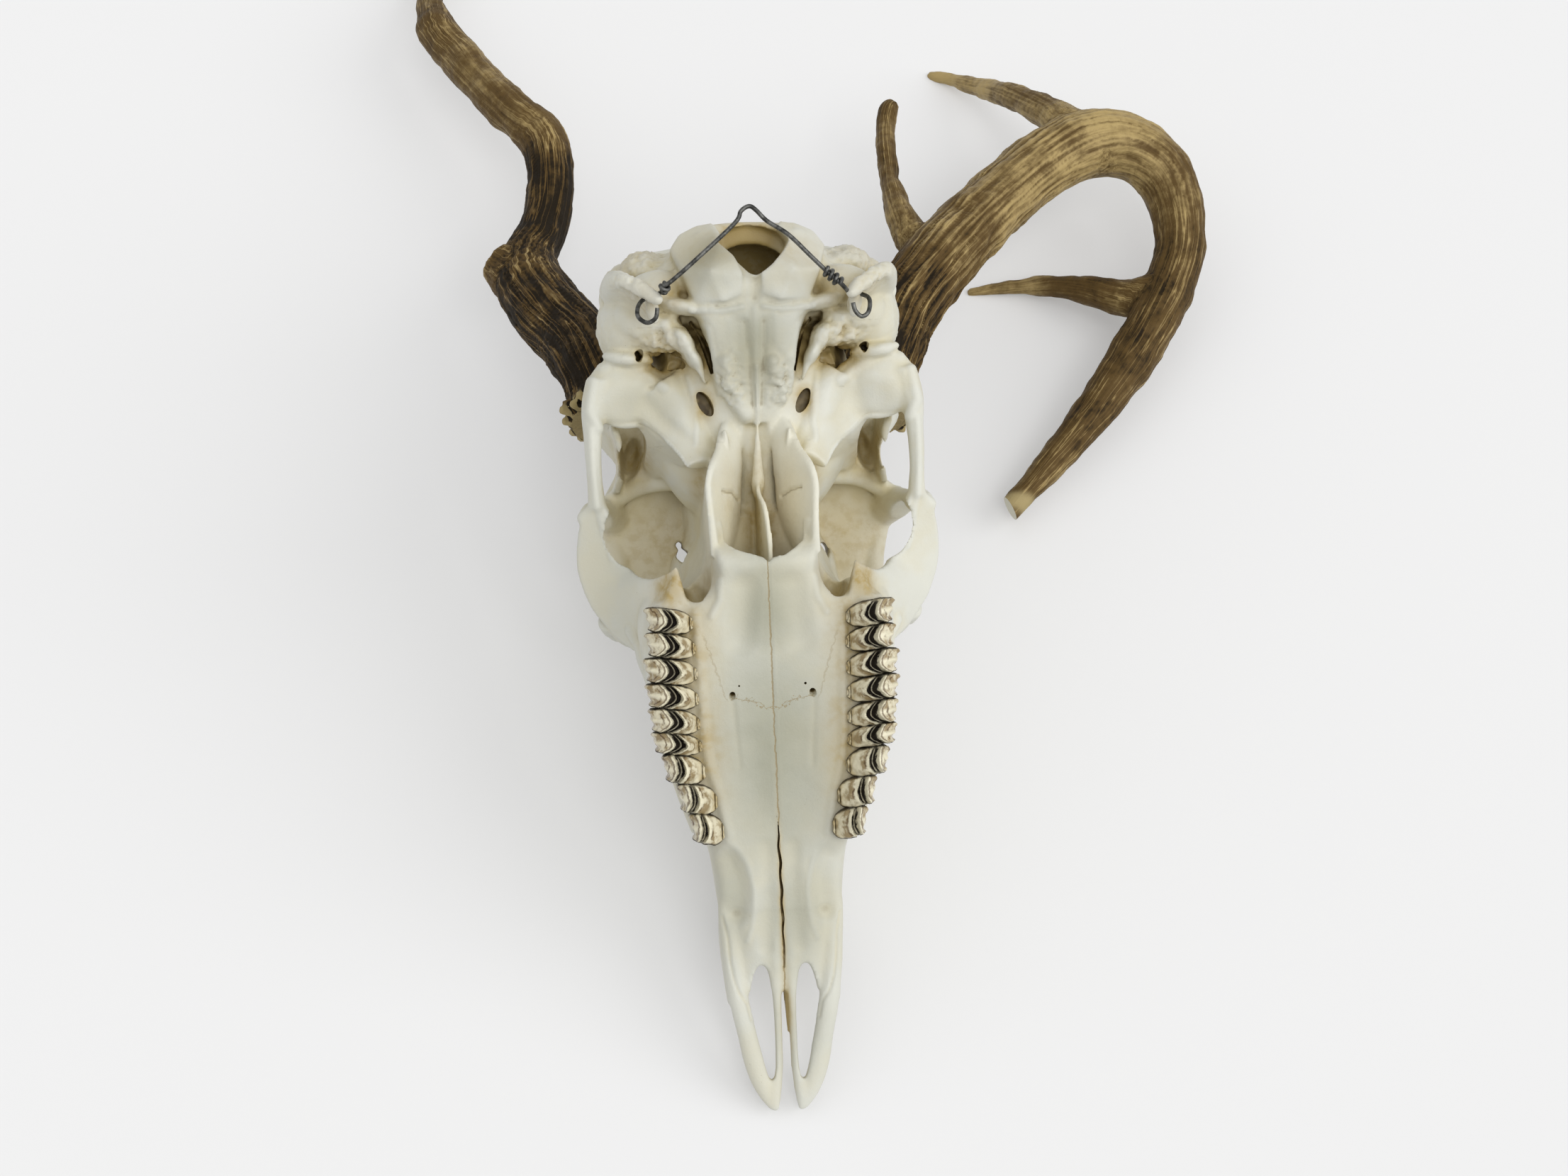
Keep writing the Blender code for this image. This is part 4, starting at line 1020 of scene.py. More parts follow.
def finish_bones(skull):
    """Carve the fine forms and keep what the bone's material reads."""
    mesh = skull.data
    carve(mesh, list(MIDDLE_STROKES) + both_sides(PAIRED_STROKES)
          + both_sides(ROUND_STROKES) + list(ROOF_STROKES))
    co = points_of(mesh)
    uneven = 0.22 * np.array([noise.fractal(Vector(p * 0.06), 1.0, 2.0, 3) for p in co])
    rough = strength_near(co, ROUGH_PLACES)
    for i in np.nonzero(rough > 0.05)[0]:
        uneven[i] += rough[i] * noise.fractal(Vector(co[i] * 0.32), 0.8, 2.0, 3)
    move_points(mesh, co + normals_of(mesh) * uneven[:, None])
    # The masks that the bone's colour follows: stain with painted shade in the holes, grey with
    # painted shade on the left, painted light in the hollows, and painted shade from how closed in
    # and how hollow the skin is.
    store(mesh, "stain", strength_near(co, STAIN_AND_SHADE_PLACES))
    store(mesh, "grey_and_shade", strength_near(co, GREY_AND_SHADE_PLACES))
    light = strength_near(co, PAINTED_LIGHT_PLACES)
    store(mesh, "open", light)
    store(mesh, "occlusion_shade_and_stain", shelter_of(skull) * (1 - 0.6 * np.minimum(1, 2 * light)))
    store(mesh, "hollow", sum(np.clip(hollowness(mesh, rounds) / full, -1, 1)
                              for rounds, full in HOLLOW_SCALES))


# ---------------------------------------------------------------- materials

# Colours that keep to one kind of place.
SEAM_BROWN = (0.24, 0.17, 0.065)
GUM_YELLOW = (0.40, 0.30, 0.13)
HAZE_BROWN = (0.20, 0.13, 0.042)
BURR_YELLOW = (0.34, 0.27, 0.13)
SAWN_WHITE = (0.62, 0.60, 0.50)
WIRE_GREYS = ((0.045, 0.045, 0.042), (0.16, 0.16, 0.15))


def is_socket(value):
    return isinstance(value, bpy.types.NodeSocket)


class Wiring:
    """Adds and links the nodes of one material or node group."""

    def __init__(self, tree):
        self.tree = tree

    def node(self, kind, inputs=None, **settings):
        node = self.tree.nodes.new("ShaderNode" + kind)
        node.location.x = 180 * len(self.tree.nodes)
        for name, value in settings.items():
            setattr(node, name, value)
        for name, value in (inputs or {}).items():
            self.feed(node.inputs[name], value)
        return node

    def feed(self, socket, value):
        """Link another node's socket, or set a plain value."""
        if is_socket(value):
            self.tree.links.new(value, socket)
        else:
            socket.default_value = value

    def group(self, group, **inputs):
        """The outputs of a node group that is placed with its own values."""
        return self.node("Group", inputs, node_tree=group).outputs

    def math(self, operation, first, second=0.0, clamp=False):
        return self.node("Math", {0: first, 1: second}, operation=operation,
                         use_clamp=clamp).outputs[0]

    def times(self, first, second, clamp=False):
        return self.math("MULTIPLY", first, second, clamp)

    def plus(self, first, second, clamp=False):
        return self.math("ADD", first, second, clamp)

    def minus(self, first, second):
        return self.math("SUBTRACT", first, second)

    def most(self, first, second):
        return self.math("MAXIMUM", first, second)

    def absolute(self, value):
        return self.math("ABSOLUTE", value)

    def without(self, value, share):
        """What a share of value leaves of 1."""
        return self.minus(1.0, self.times(value, share))

    def between(self, value, low, high, start=0.0, end=1.0):
        """Map value smoothly from low..high to start..end."""
        return self.node("MapRange", {"Value": value, "From Min": low, "From Max": high,
                                      "To Min": start, "To Max": end},
                         interpolation_type="SMOOTHSTEP").outputs["Result"]

    def noise(self, vector, scale, detail=3.0, roughness=0.55):
        return self.node("TexNoise", {"Vector": vector, "Scale": scale, "Detail": detail,
                                      "Roughness": roughness}).outputs["Fac"]

    def sway(self, vector, scale, detail, roughness=0.55):
        """Noise that swings about zero."""
        return self.minus(self.noise(vector, scale, detail, roughness), 0.5)

    def mix(self, factor, first, second):
        """Blend two colours, each from another node or a plain one."""
        first, second = (colour if is_socket(colour) else (*colour, 1.0)
                         for colour in (first, second))
        return self.node("Mix", {0: factor, 6: first, 7: second}, data_type="RGBA").outputs[2]

    def attribute(self, name, output="Fac"):
        return self.node("Attribute", attribute_name=name).outputs[output]

    def along(self, vector, direction):
        """How far a vector reaches in a direction."""
        return self.node("VectorMath", {0: vector, 1: direction},
                         operation="DOT_PRODUCT").outputs["Value"]


def new_group(name, inputs, outputs):
    """An empty node group with its wiring, and the sockets of its two end nodes."""
    group = bpy.data.node_groups.new(name, "ShaderNodeTree")
    kinds = {"value": "NodeSocketFloat", "vector": "NodeSocketVector"}
    for socket, kind, value in inputs:
        made = group.interface.new_socket(socket, in_out="INPUT", socket_type=kinds[kind])
        made.default_value = value
    for socket, kind in outputs:
        group.interface.new_socket(socket, in_out="OUTPUT", socket_type=kinds[kind])
    start = group.nodes.new("NodeGroupInput")
    end = group.nodes.new("NodeGroupOutput")
    end.location.x = 2400
    return group, Wiring(group), start.outputs, end.inputs


def make_skull_axes():
    """Position in the skull's own axes, in millimetres."""
    group, wires, _, out = new_group("Skull axes", (), (("Position", "vector"),))
    place = rest_placement()
    where = wires.node("TexCoord").outputs["Object"]
    turned = wires.node("Mapping", {"Vector": where, "Location": place.to_translation(),
                                    "Rotation": place.to_euler(), "Scale": (MM, MM, MM)},
                        vector_type="TEXTURE").outputs["Vector"]
    wires.feed(out["Position"], turned)
    return group


def make_fine_grain():
    """Fine unevenness and small pores, as a height and a mask."""
    group, wires, given, out = new_group(
        "Fine grain", (("Position", "vector", (0, 0, 0)), ("Size", "value", 1.0),
                       ("Pores", "value", 0.5)),
        (("Height", "value"), ("Pores", "value")))
    where = given["Position"]
    grain = wires.noise(where, 0.9, 6.0, 0.62)
    finer = wires.noise(where, 3.2, 3.0)
    cells = wires.node("TexVoronoi", {"Vector": where, "Scale": 0.55}).outputs["Distance"]
    holes = wires.between(cells, 0.10, 0.02)
    patches = wires.between(wires.noise(where, 0.05), 0.56, 0.70)
    pores = wires.times(wires.times(holes, patches), given["Pores"])
    height = wires.plus(grain, wires.times(finer, 0.25))
    sized = wires.times(height, given["Size"])
    wires.feed(out["Height"], wires.minus(sized, pores))
    wires.feed(out["Pores"], pores)
    return group


def make_blotches():
    """Large soft patches between 0 and 1."""
    group, wires, given, out = new_group(
        "Blotches", (("Position", "vector", (0, 0, 0)), ("Scale", "value", 0.03),
                     ("Low", "value", 0.35), ("High", "value", 0.65)), (("Mask", "value"),))
    patches = wires.noise(given["Position"], given["Scale"], 4.0, 0.6)
    wires.feed(out["Mask"], wires.between(patches, given["Low"], given["High"]))
    return group


def make_seam():
    """A thin wandering line where the bones on two sides of a plane meet."""
    group, wires, given, out = new_group(
        "Seam", (("Position", "vector", (0, 0, 0)), ("Facing", "vector", (1, 0, 0)),
                 ("Level", "value", 0.0), ("Wander", "value", 1.0), ("Turns", "value", 0.3),
                 ("Width", "value", 0.25)), (("Mask", "value"),))
    across = wires.along(given["Position"], given["Facing"])
    wobble = wires.sway(given["Position"], given["Turns"], 4.0, 0.7)
    shifted = wires.plus(wires.minus(across, given["Level"]), wires.times(wobble, given["Wander"]))
    apart = wires.math("DIVIDE", wires.absolute(shifted), given["Width"])
    wires.feed(out["Mask"], wires.between(apart, 1.0, 0.4))
    return group


def shared_groups():
    """The effects that several materials use, each built once."""
    makers = {"Skull axes": make_skull_axes, "Fine grain": make_fine_grain,
              "Blotches": make_blotches, "Seam": make_seam}
    return {name: bpy.data.node_groups.get(name) or make() for name, make in makers.items()}


def new_material(name, roughness, specular=0.5):
    material = bpy.data.materials.new(name)
    material.use_nodes = True
    shader = material.node_tree.nodes["Principled BSDF"]
    shader.inputs["Roughness"].default_value = roughness
    shader.inputs["Specular IOR Level"].default_value = specular
    return material, shader, Wiring(material.node_tree)


def finish_material(shader, wires, colour, roughness, height, strength, distance):
    """Feed the shader with the colour, the roughness and the bump of a height."""
    wires.feed(shader.inputs["Base Color"], colour)
    wires.feed(shader.inputs["Roughness"], roughness)
    bump = wires.node("Bump", {"Height": height, "Strength": strength, "Distance": distance})
    wires.feed(shader.inputs["Normal"], bump.outputs["Normal"])


def bone_seams(wires, groups, where):
    """Lines along the midline and across the palate, where its bones meet."""
    parts = wires.node("SeparateXYZ", {"Vector": where}).outputs
    middle = wires.group(groups["Seam"], Position=where, Facing=(1, 0, 0), Level=0.1, Wander=1.6,
                         Turns=0.25, Width=0.32)["Mask"]
    middle = wires.times(middle, wires.between(parts["Y"], 1.0, -1.0))
    # Both halves mirror each other, so these seams are drawn on the distance from the midline.
    off = wires.absolute(parts["X"])
    mirrored = wires.node("CombineXYZ", {"X": off, "Y": parts["Y"], "Z": parts["Z"]}).outputs[0]
    across = wires.group(groups["Seam"], Position=mirrored, Facing=(-0.35, 1, 0), Level=-48.0,
                         Wander=8.0, Turns=0.42, Width=0.34)["Mask"]
    across = wires.times(across, wires.between(off, 14.0, 12.8))
    beside = wires.group(groups["Seam"], Position=mirrored, Facing=(1, -0.33, 0), Level=29.4,
                         Wander=4.0, Turns=0.30, Width=0.34)["Mask"]
    beside = wires.times(beside, wires.times(wires.between(parts["Y"], -46.0, -44.0),
                                             wires.between(parts["Y"], -22.0, -26.0)))
    across = wires.times(wires.most(across, wires.times(beside, 0.4)),
                         wires.between(parts["Z"], -5.0, -3.0))
    return wires.most(middle, across)


def make_bone_material(settings, groups):
    material, shader, wires = new_material("Dry bone", 0.5, 0.35)
    where = wires.group(groups["Skull axes"])["Position"]
    stain, occlusion_shade_and_stain, hollow, grey_and_shade, light = (
        wires.attribute(name) for name in ("stain", "occlusion_shade_and_stain", "hollow", "grey_and_shade", "open"))
    patches = wires.group(groups["Blotches"], Position=where, Scale=0.035)["Mask"]
    small = wires.group(groups["Blotches"], Position=where, Scale=0.22, Low=0.42, High=0.66)["Mask"]
    grain = wires.group(groups["Fine grain"], Position=where, Size=1.0, Pores=0.8)
    # Painted shade: the more closed in and the more hollow the skin is, the more it turns to cream,
    # then ochre, then near-black at the deepest, with some cream and ochre as real fat and stain.
    cream_and_shade = wires.plus(wires.between(occlusion_shade_and_stain, 0.12, 0.60, 0.0, 0.75), wires.times(patches, 0.45))
    cream_and_shade = wires.plus(cream_and_shade, wires.times(hollow, 0.26), clamp=True)
    # Greyer bone takes less cream; on the left side the grey is painted shade.
    cream_and_shade = wires.times(cream_and_shade, wires.without(grey_and_shade, 0.85))
    colour = wires.mix(cream_and_shade, wires.mix(grey_and_shade, settings.white, settings.grey_and_shade), settings.cream)
    # Painted light: the bone is paled where light is painted into the hollows.
    colour = wires.mix(wires.times(light, 0.85), colour, settings.pale)
    # Ochre: the stain places, which inside the holes stand for painted shade, and painted shade
    # where the skin is closed in.
    stained = wires.times(stain, wires.plus(0.70, wires.times(small, 0.4)))
    ochre_stain_and_shade = wires.plus(wires.between(occlusion_shade_and_stain, 0.62, 0.95, 0.0, 0.6), stained, clamp=True)
    colour = wires.mix(wires.times(ochre_stain_and_shade, wires.without(light, 0.40)), colour, settings.ochre_stain_and_shade)
    # Painted shade: near-black at the bottom of the most closed-in hollows and in the deepest
    # creases.
    deep = wires.between(occlusion_shade_and_stain, 0.74, 0.92, 0.0, 0.92)
    crease_shade = wires.between(hollow, 0.7, 1.8, 0.0, 0.40)
    colour = wires.mix(wires.most(deep, crease_shade), colour, settings.deep_shade)
    seams = bone_seams(wires, groups, where)
    colour = wires.mix(wires.times(seams, 0.70), colour, SEAM_BROWN)
    # Painted shade in the small pores.
    colour = wires.mix(wires.times(grain["Pores"], 0.7), colour, settings.deep_shade)
    roughness = wires.plus(0.40, wires.times(wires.plus(patches, small), 0.10))
    height = wires.minus(grain["Height"], wires.times(seams, 0.8))
    finish_material(shader, wires, colour, roughness, height, 0.30, 0.0004)
    return material


def make_tooth_material(settings, groups):
    material, shader, wires = new_material("Tooth enamel", 0.3, 0.35)
    where = wires.group(groups["Skull axes"])["Position"]
    grain = wires.group(groups["Fine grain"], Position=where, Size=0.6, Pores=0.0)
    patches = wires.group(groups["Blotches"], Position=where, Scale=0.30, Low=0.38,
                          High=0.60)["Mask"]
    sway = wires.times(wires.sway(where, 0.5, 3.0), 1.5)
    inner = wires.plus(wires.attribute("inner"), sway)
    outer = wires.minus(wires.attribute("outer"), sway)
    gum, edge = wires.attribute("gum"), wires.attribute("edge")

    def line(value, middle, width):
        """A thin line where value is near middle."""
        return wires.between(wires.absolute(wires.minus(value, middle)), width, width * 0.35)

    # Yellow gums, and a brown haze on the inner face, below its crest.
    yellow = wires.times(gum, wires.plus(0.35, wires.times(patches, 0.65)))
    colour = wires.mix(yellow, settings.enamel, GUM_YELLOW)
    haze = wires.times(wires.between(inner, -0.5, -1.6), wires.between(inner, -4.6, -2.4))
    wall = wires.times(wires.between(outer, 0.5, 1.4), wires.between(edge, 0.05, 0.35))
    haze = wires.most(haze, wires.times(wall, 0.9))
    haze = wires.times(haze, wires.plus(0.15, patches), clamp=True)
    colour = wires.mix(wires.times(haze, 0.85), colour, HAZE_BROWN)
    # Brown lines on the walls.
    lines = wires.most(wires.times(line(inner, -1.15, 0.36), patches),
                       wires.times(line(outer, 0.75, 0.44), 0.9))
    lines = wires.most(lines, wires.times(line(outer, 2.5, 0.40), patches))
    colour = wires.mix(wires.times(lines, 0.85), colour, settings.dentine)
    # The black hollow between the crests, partly dark deposit and partly painted shade, with the
    # pale fold inside it, and painted shade along the ends of each lobe and the gum line.
    hollow = wires.times(wires.between(inner, 0.45, 0.80), wires.between(outer, -0.30, -0.65))
    hollow = wires.times(hollow, wires.between(edge, 0.98, 0.72, 0.55, 1.0))
    fold = wires.times(line(wires.plus(inner, outer), 0.10, 0.62), wires.between(edge, 0.88, 0.66))
    gum_line = wires.times(line(gum, 0.92, 0.08), wires.between(inner, -1.0, -2.0, 0.0, 0.6))
    rim_shade = wires.most(wires.between(edge, 0.88, 0.96), gum_line)
    dark = wires.times(hollow, wires.without(fold, 0.85))
    dark = wires.most(dark, wires.times(rim_shade, 0.88))
    colour = wires.mix(dark, colour, settings.deposit_and_shade)
    height = wires.minus(grain["Height"], wires.times(lines, 0.8))
    finish_material(shader, wires, colour, wires.between(dark, 0.2, 0.8, 0.26, 0.70), height,
                    0.3, 0.0002)
    return material


def sawn_mask(wires, where):
    """The flat end where the right antler's tip was sawn off."""
    point, direction = SAWN_END
    facing = wires.along(wires.node("NewGeometry").outputs["True Normal"],
                         rest_turn() @ Vector(direction).normalized())
    off = wires.node("VectorMath", {0: where, 1: point}, operation="DISTANCE").outputs["Value"]
    return wires.times(wires.between(facing, 0.95, 0.99), wires.between(off, 9.0, 8.0))


def make_antler_material(settings, groups):
    material, shader, wires = new_material("Antler", 0.6, 0.12)
    where = wires.group(groups["Skull axes"])["Position"]
    beam = wires.attribute("beam", "Vector")
    tone, furrow = wires.attribute("tone"), wires.attribute("furrow")
    grain = wires.group(groups["Fine grain"], Position=where, Size=1.0, Pores=0.6)
    # Streaks, thin pale ridges and thin dark furrows run along the beam.
    stretched = wires.node("Mapping", {"Vector": beam, "Scale": (1.0, 1.0, 0.038)},
                           vector_type="POINT").outputs["Vector"]
    streaks = wires.noise(stretched, 0.75, 5.0, 0.6)
    fine = wires.noise(stretched, 2.2, 4.0, 0.65)
    patches = wires.noise(where, 0.045, 4.0, 0.6)
    mottle = wires.noise(where, 0.5, 4.0, 0.65)
    thread = wires.between(wires.absolute(wires.sway(stretched, 0.42, 2.0, 0.5)), 0.035, 0.0)
    value = wires.plus(tone, wires.times(furrow, -0.15))
    for amount, share in ((streaks, 0.70), (fine, 0.26), (patches, 1.0), (mottle, 0.30)):
        value = wires.plus(value, wires.times(wires.minus(amount, 0.5), share))
    ridges = wires.times(thread, wires.between(tone, 0.55, 0.15, 0.0, 0.40))
    value = wires.plus(value, ridges, clamp=True)
    colour = wires.mix(wires.between(value, 0.02, 0.40), settings.dark, settings.brown)
    colour = wires.mix(wires.between(value, 0.38, 0.95), colour, settings.tan)
    burr = wires.times(wires.attribute("burr"), wires.between(furrow, 0.10, -0.40))
    colour = wires.mix(burr, colour, BURR_YELLOW)
    sawn = sawn_mask(wires, where)
    colour = wires.mix(sawn, colour, SAWN_WHITE)
    height = wires.plus(wires.times(streaks, 1.6), fine)
    height = wires.plus(height, wires.times(thread, 0.4))
    height = wires.plus(height, wires.times(grain["Height"], 0.5))
    height = wires.times(height, wires.minus(1.0, sawn))
    finish_material(shader, wires, colour, wires.between(value, 0.1, 0.8, 0.66, 0.42), height,
                    0.35, 0.0006)
    return material


def make_wire_material(groups):
    material, shader, wires = new_material("Dark steel wire", 0.4, 0.5)
    shader.inputs["Metallic"].default_value = 1.0
    where = wires.group(groups["Skull axes"])["Position"]
    grain = wires.group(groups["Fine grain"], Position=where, Size=1.0, Pores=0.0)
    patches = wires.group(groups["Blotches"], Position=where, Scale=0.4)["Mask"]
    colour = wires.mix(patches, *WIRE_GREYS)
    finish_material(shader, wires, colour, wires.between(grain["Height"], 0.3, 0.9, 0.34, 0.58),
                    grain["Height"], 0.3, 0.0002)
    return material


# ---------------------------------------------------------------- teeth

# Each row from the last molar to the first premolar: the middle of each lobe as x and
# y, the crown's width and its length along the row, and how much of it is a premolar.
TOOTH_LOBES = (
    (31.6, -19.0, 14.4, 8.2, 0), (31.4, -26.9, 15.0, 8.0, 0),
    (31.7, -35.0, 16.2, 8.2, 0), (31.5, -43.0, 16.0, 8.0, 0),
    (31.1, -50.8, 15.4, 7.9, 0), (30.6, -57.9, 15.0, 7.0, 0),
    (28.8, -66.1, 12.6, 9.2, 1), (24.9, -75.6, 11.8, 9.6, 1), (22.3, -85.2, 10.2, 9.8, 1))
CROWN_STEPS = (72, 40)      # cells of a crown across and along the row
GUM_LEVEL = 0.8             # where the crowns leave the jaw, above the palate
ROOT_LEVEL = -5.0           # how far their walls are let into the jaw


def crown_point(a, b, lobe, height):
    """A crown's surface: a runs from the palate's side out, b along the row, both -1 to 1.

    Gives x and y from the lobe's middle, z, the distances to the crests of the inner and
    the outer cusp in millimetres, and how near the gum it is.
    """
    _, _, width, length, premolar = lobe
    reach = abs(b)
    front = max(0.0, -b) ** 2
    bend = reach ** 1.8
    if premolar:
        inner, outer = -0.08 + 0.34 * bend + 0.10 * front, 0.40 + 0.22 * bend + 0.10 * front
    else:
        inner, outer = -0.40 + 0.50 * bend + 0.28 * front, 0.16 + 0.34 * bend + 0.22 * front
    low_cusp = height * (0.84 - 0.20 * bend)
    high_cusp = height * (1.02 - 0.28 * bend)
    if a < inner:
        t = min((inner - a) / (inner + 0.86), 1.2)
        z = GUM_LEVEL + (low_cusp - GUM_LEVEL) * max(0.0, 1 - t) ** 0.62
        z += 1.5 * max(0.0, 1 - abs(t - 1.08) / 0.12)
    elif a < outer:
        u = (a - inner) / (outer - inner)
        dip = math.sin(math.pi * u) ** 0.75
        room = min(1.0, (outer - inner) * 1.9)
        z = low_cusp + (high_cusp - low_cusp) * u ** 1.3 - 5.6 * dip * room
        z += 1.3 * room * max(0.0, 1 - abs(u - 0.46) / 0.12) * (1 - reach ** 3)
    else:
        t = (a - outer) / (1.0 - outer)
        rib = max(0.0, 1 - reach / 0.26)
        style = max(0.0, 1 - abs(reach - 0.93) / 0.16)
        slope = t ** 1.5 * (0.62 - 0.18 * rib - 0.22 * style * t)
        z = high_cusp - (high_cusp - GUM_LEVEL) * slope - 3.5 * max(0.0, t - 0.9) / 0.1
    z -= 2.8 * smooth_step(0.86, 1.0, reach)
    inward, outward = max(0.0, -0.15 - a) / 0.90, max(0.0, a - 0.45) / 0.55
    pinch = math.sqrt(max(0.0, 1 - inward ** 2)) * (1 - 0.16 * outward ** 2)
    stand = smooth_step(0.55, 1.0, a)
    x = a * width / 2 + 0.05 * z + stand * (1.0 * math.exp(-((b - 0.72) / 0.22) ** 2)
                                            - 0.9 * math.exp(-((b + 0.55) / 0.30) ** 2))
    y = b * pinch * length / 2 + 1.1 * a
    near_gum = smooth_step(6.0, 0.5, z) if a < inner else 0.55 * smooth_step(7.0, 2.0, z)
    return (x, y, z, (a - inner) * width / 2, (a - outer) * width / 2, float(near_gum))


def add_crown(shape, lobe, side, height, layers):
    """One crown: a grid raised to the crown's surface, with its walls let into the jaw."""
    across, along = CROWN_STEPS
    verts = bmesh.ops.create_grid(shape, x_segments=across, y_segments=along, size=1)["verts"]
    edges = [edge for edge in ring_edges(verts) if edge.is_boundary]
    grown = bmesh.ops.extrude_edge_only(shape, edges=edges)["geom"]
    foot = [part for part in grown if isinstance(part, bmesh.types.BMVert)]
    fresh = set(foot)
    rim = [part for part in grown if isinstance(part, bmesh.types.BMEdge)
           and part.verts[0] in fresh and part.verts[1] in fresh]
    for vert in verts + foot:
        b = vert.co.y
        x, y, z, *marks = crown_point(vert.co.x, b, lobe, height)
        if vert in fresh:
            z, marks[2] = ROOT_LEVEL, 1.0
        for layer, value in zip(layers, (*marks, abs(b))):
            vert[layer] = value
        vert.co = (side * (lobe[0] + x), lobe[1] + y, z)
    bmesh.ops.contextual_create(shape, geom=rim)


def make_tooth_row(name, side, height):
    shape = bmesh.new()
    layers = [shape.verts.layers.float.new(name) for name in ("inner", "outer", "gum", "edge")]
    for i, lobe in enumerate(TOOTH_LOBES):
        worn = 0.95 + 0.06 * math.sin(2.3 * i + side)
        add_crown(shape, lobe, side, height * worn, layers)
    row = object_from(name, shape)
    co = points_of(row.data)
    lumps = np.array([noise.noise(Vector(p * 0.55)) for p in co])
    free = smooth_step(-1.0, 2.0, co[:, 2])
    move_points(row.data, co + normals_of(row.data) * (0.35 * lumps * free)[:, None])
    return row


# ---------------------------------------------------------------- antlers

# The middle lines, from the burr outwards: x, y, z, the radius and how pale the skin is.
LEFT_BEAM = (
    (-42.6, 46, -92.5, 13.0, 0.1), (-43.6, 50, -95.5, 15.0, 0.1), (-44.8, 54.5, -98, 15.0, 0.08),
    (-46.6, 61, -101.5, 14.4, 0.06), (-50, 70, -107.5, 13.8, 0.06), (-56, 80, -122, 13.4, 0.06),
    (-65, 92, -140, 13.6, 0.06), (-71, 103, -154, 12.6, 0.08), (-71, 113, -165, 10.6, 0.06),
    (-67, 122, -174, 9.2, -0.02), (-63, 135, -184, 8.8, -0.02), (-62, 150, -193, 9.0, 0.10),
    (-65, 163, -202, 9.0, 0.32), (-77, 175.5, -214, 8.2, 0.46), (-87, 188, -228, 8.1, 0.44),
    (-95, 200, -242, 8.2, 0.34), (-102, 210.5, -252, 7.8, 0.28), (-105, 222, -266, 5.6, 0.30),
    (-104.6, 235, -283, 4.4, 0.36), (-101, 249, -299, 3.6, 0.40), (-98, 262, -318, 3.0, 0.44))
LEFT_STUB = ((-66, 96, -147, 11, 0.1), (-75, 106, -157, 10.6, 0.14),
             (-82.0, 112.6, -162.4, 7.6, 0.5))
RIGHT_BEAM = (
    (42.6, 46, -92.5, 13.0, 0.1), (43.6, 50, -95.5, 15.0, 0.1), (44.8, 54.5, -98, 15.0, 0.1),
    (47, 62, -102, 14.8, 0.10), (50.6, 71, -108, 14.2, 0.12), (59, 86, -120, 13.8, 0.22),
    (72, 101, -134, 13.4, 0.34), (86, 115, -150, 13.0, 0.48), (102, 129, -166, 12.6, 0.58),
    (119, 142, -179, 12.5, 0.64), (135, 150, -187, 13.0, 0.70), (150, 151, -190, 12.8, 0.72),
    (163, 144, -190, 12.0, 0.64), (170, 131, -187, 10.8, 0.48), (171, 112, -181, 9.4, 0.26),
    (165, 95, -175, 9.6, 0.24), (153, 76, -165, 9.2, 0.26), (138, 57, -155, 8.2, 0.26),
    (121, 38.5, -146, 6.5, 0.28), (104, 21.9, -138, 4.7, 0.30), (92, 10, -134, 4.1, 0.32))
BROW_TINE = (
    (84, 112, -148, 9.0, 0.3), (70, 112.5, -148, 8.0, 0.42), (65, 121, -154, 5.8, 0.44),
    (62.8, 134, -168, 4.2, 0.30), (62.8, 145, -180, 3.8, 0.20), (63.2, 154, -190, 3.8, 0.34),
    (64.4, 162, -198, 3.4, 0.22), (66.4, 168, -201.5, 3.7, 0.16), (69.0, 171, -202.5, 2.2, 0.10))
SECOND_TINE = (
    (142, 148, -186, 9.5, 0.66), (133, 158, -192, 8.4, 0.62), (127, 165, -202, 6.5, 0.56),
    (117.6, 174, -222, 5.2, 0.56), (108.6, 181, -245, 4.0, 0.60), (99, 187.4, -262, 2.8, 0.64),
    (90, 190.6, -270, 1.6, 0.66))
THIRD_TINE = (
    (163, 94, -174, 8.4, 0.3), (155, 92, -177, 8.0, 0.32), (145, 93.6, -182, 6.6, 0.36),
    (132, 97.6, -190, 4.9, 0.44), (119, 99.6, -199, 3.8, 0.52), (104, 99.6, -203, 2.4, 0.56),
    (94, 98.3, -205, 1.3, 0.58))
# Where the right antler's tip was sawn off, and the way the flat end faces.
SAWN_END = ((96.4, 15.6, -137), (-0.90, -0.40, 0.10))
SAW_REACH = 30              # the saw's plane cuts nothing farther from that point
BURR_MIDDLE = (44.0, 51.5, -96.5)
BURR_AXIS = (0.22, 0.83, -0.51)
BURR_RADIUS = 17.4
BURR_RIDGES = 23
# Each antler's lines, with the length where each begins and the length it is measured by.
LEFT_LINES = ((LEFT_BEAM, 0, 330), (LEFT_STUB, 80, 200))
RIGHT_LINES = ((RIGHT_BEAM, 0, 360), (BROW_TINE, 90, 190), (SECOND_TINE, 190, 330),
               (THIRD_TINE, 250, 340))
LEFT_NODES = ("antler_left_base", "antler_left_beam", "antler_left_tip")
RIGHT_NODES = ("antler_right_base", "antler_right_beam", "antler_right_bend", "antler_right_tip",
               "antler_right_brow_tine", "antler_right_second_tine", "antler_right_third_tine")


def burr_place(side):
    """The middle and the axis of the burr, the ring where the antler grows."""
    axis = Vector((side * BURR_AXIS[0], *BURR_AXIS[1:])).normalized()
    return Vector((side * BURR_MIDDLE[0], *BURR_MIDDLE[1:])), axis


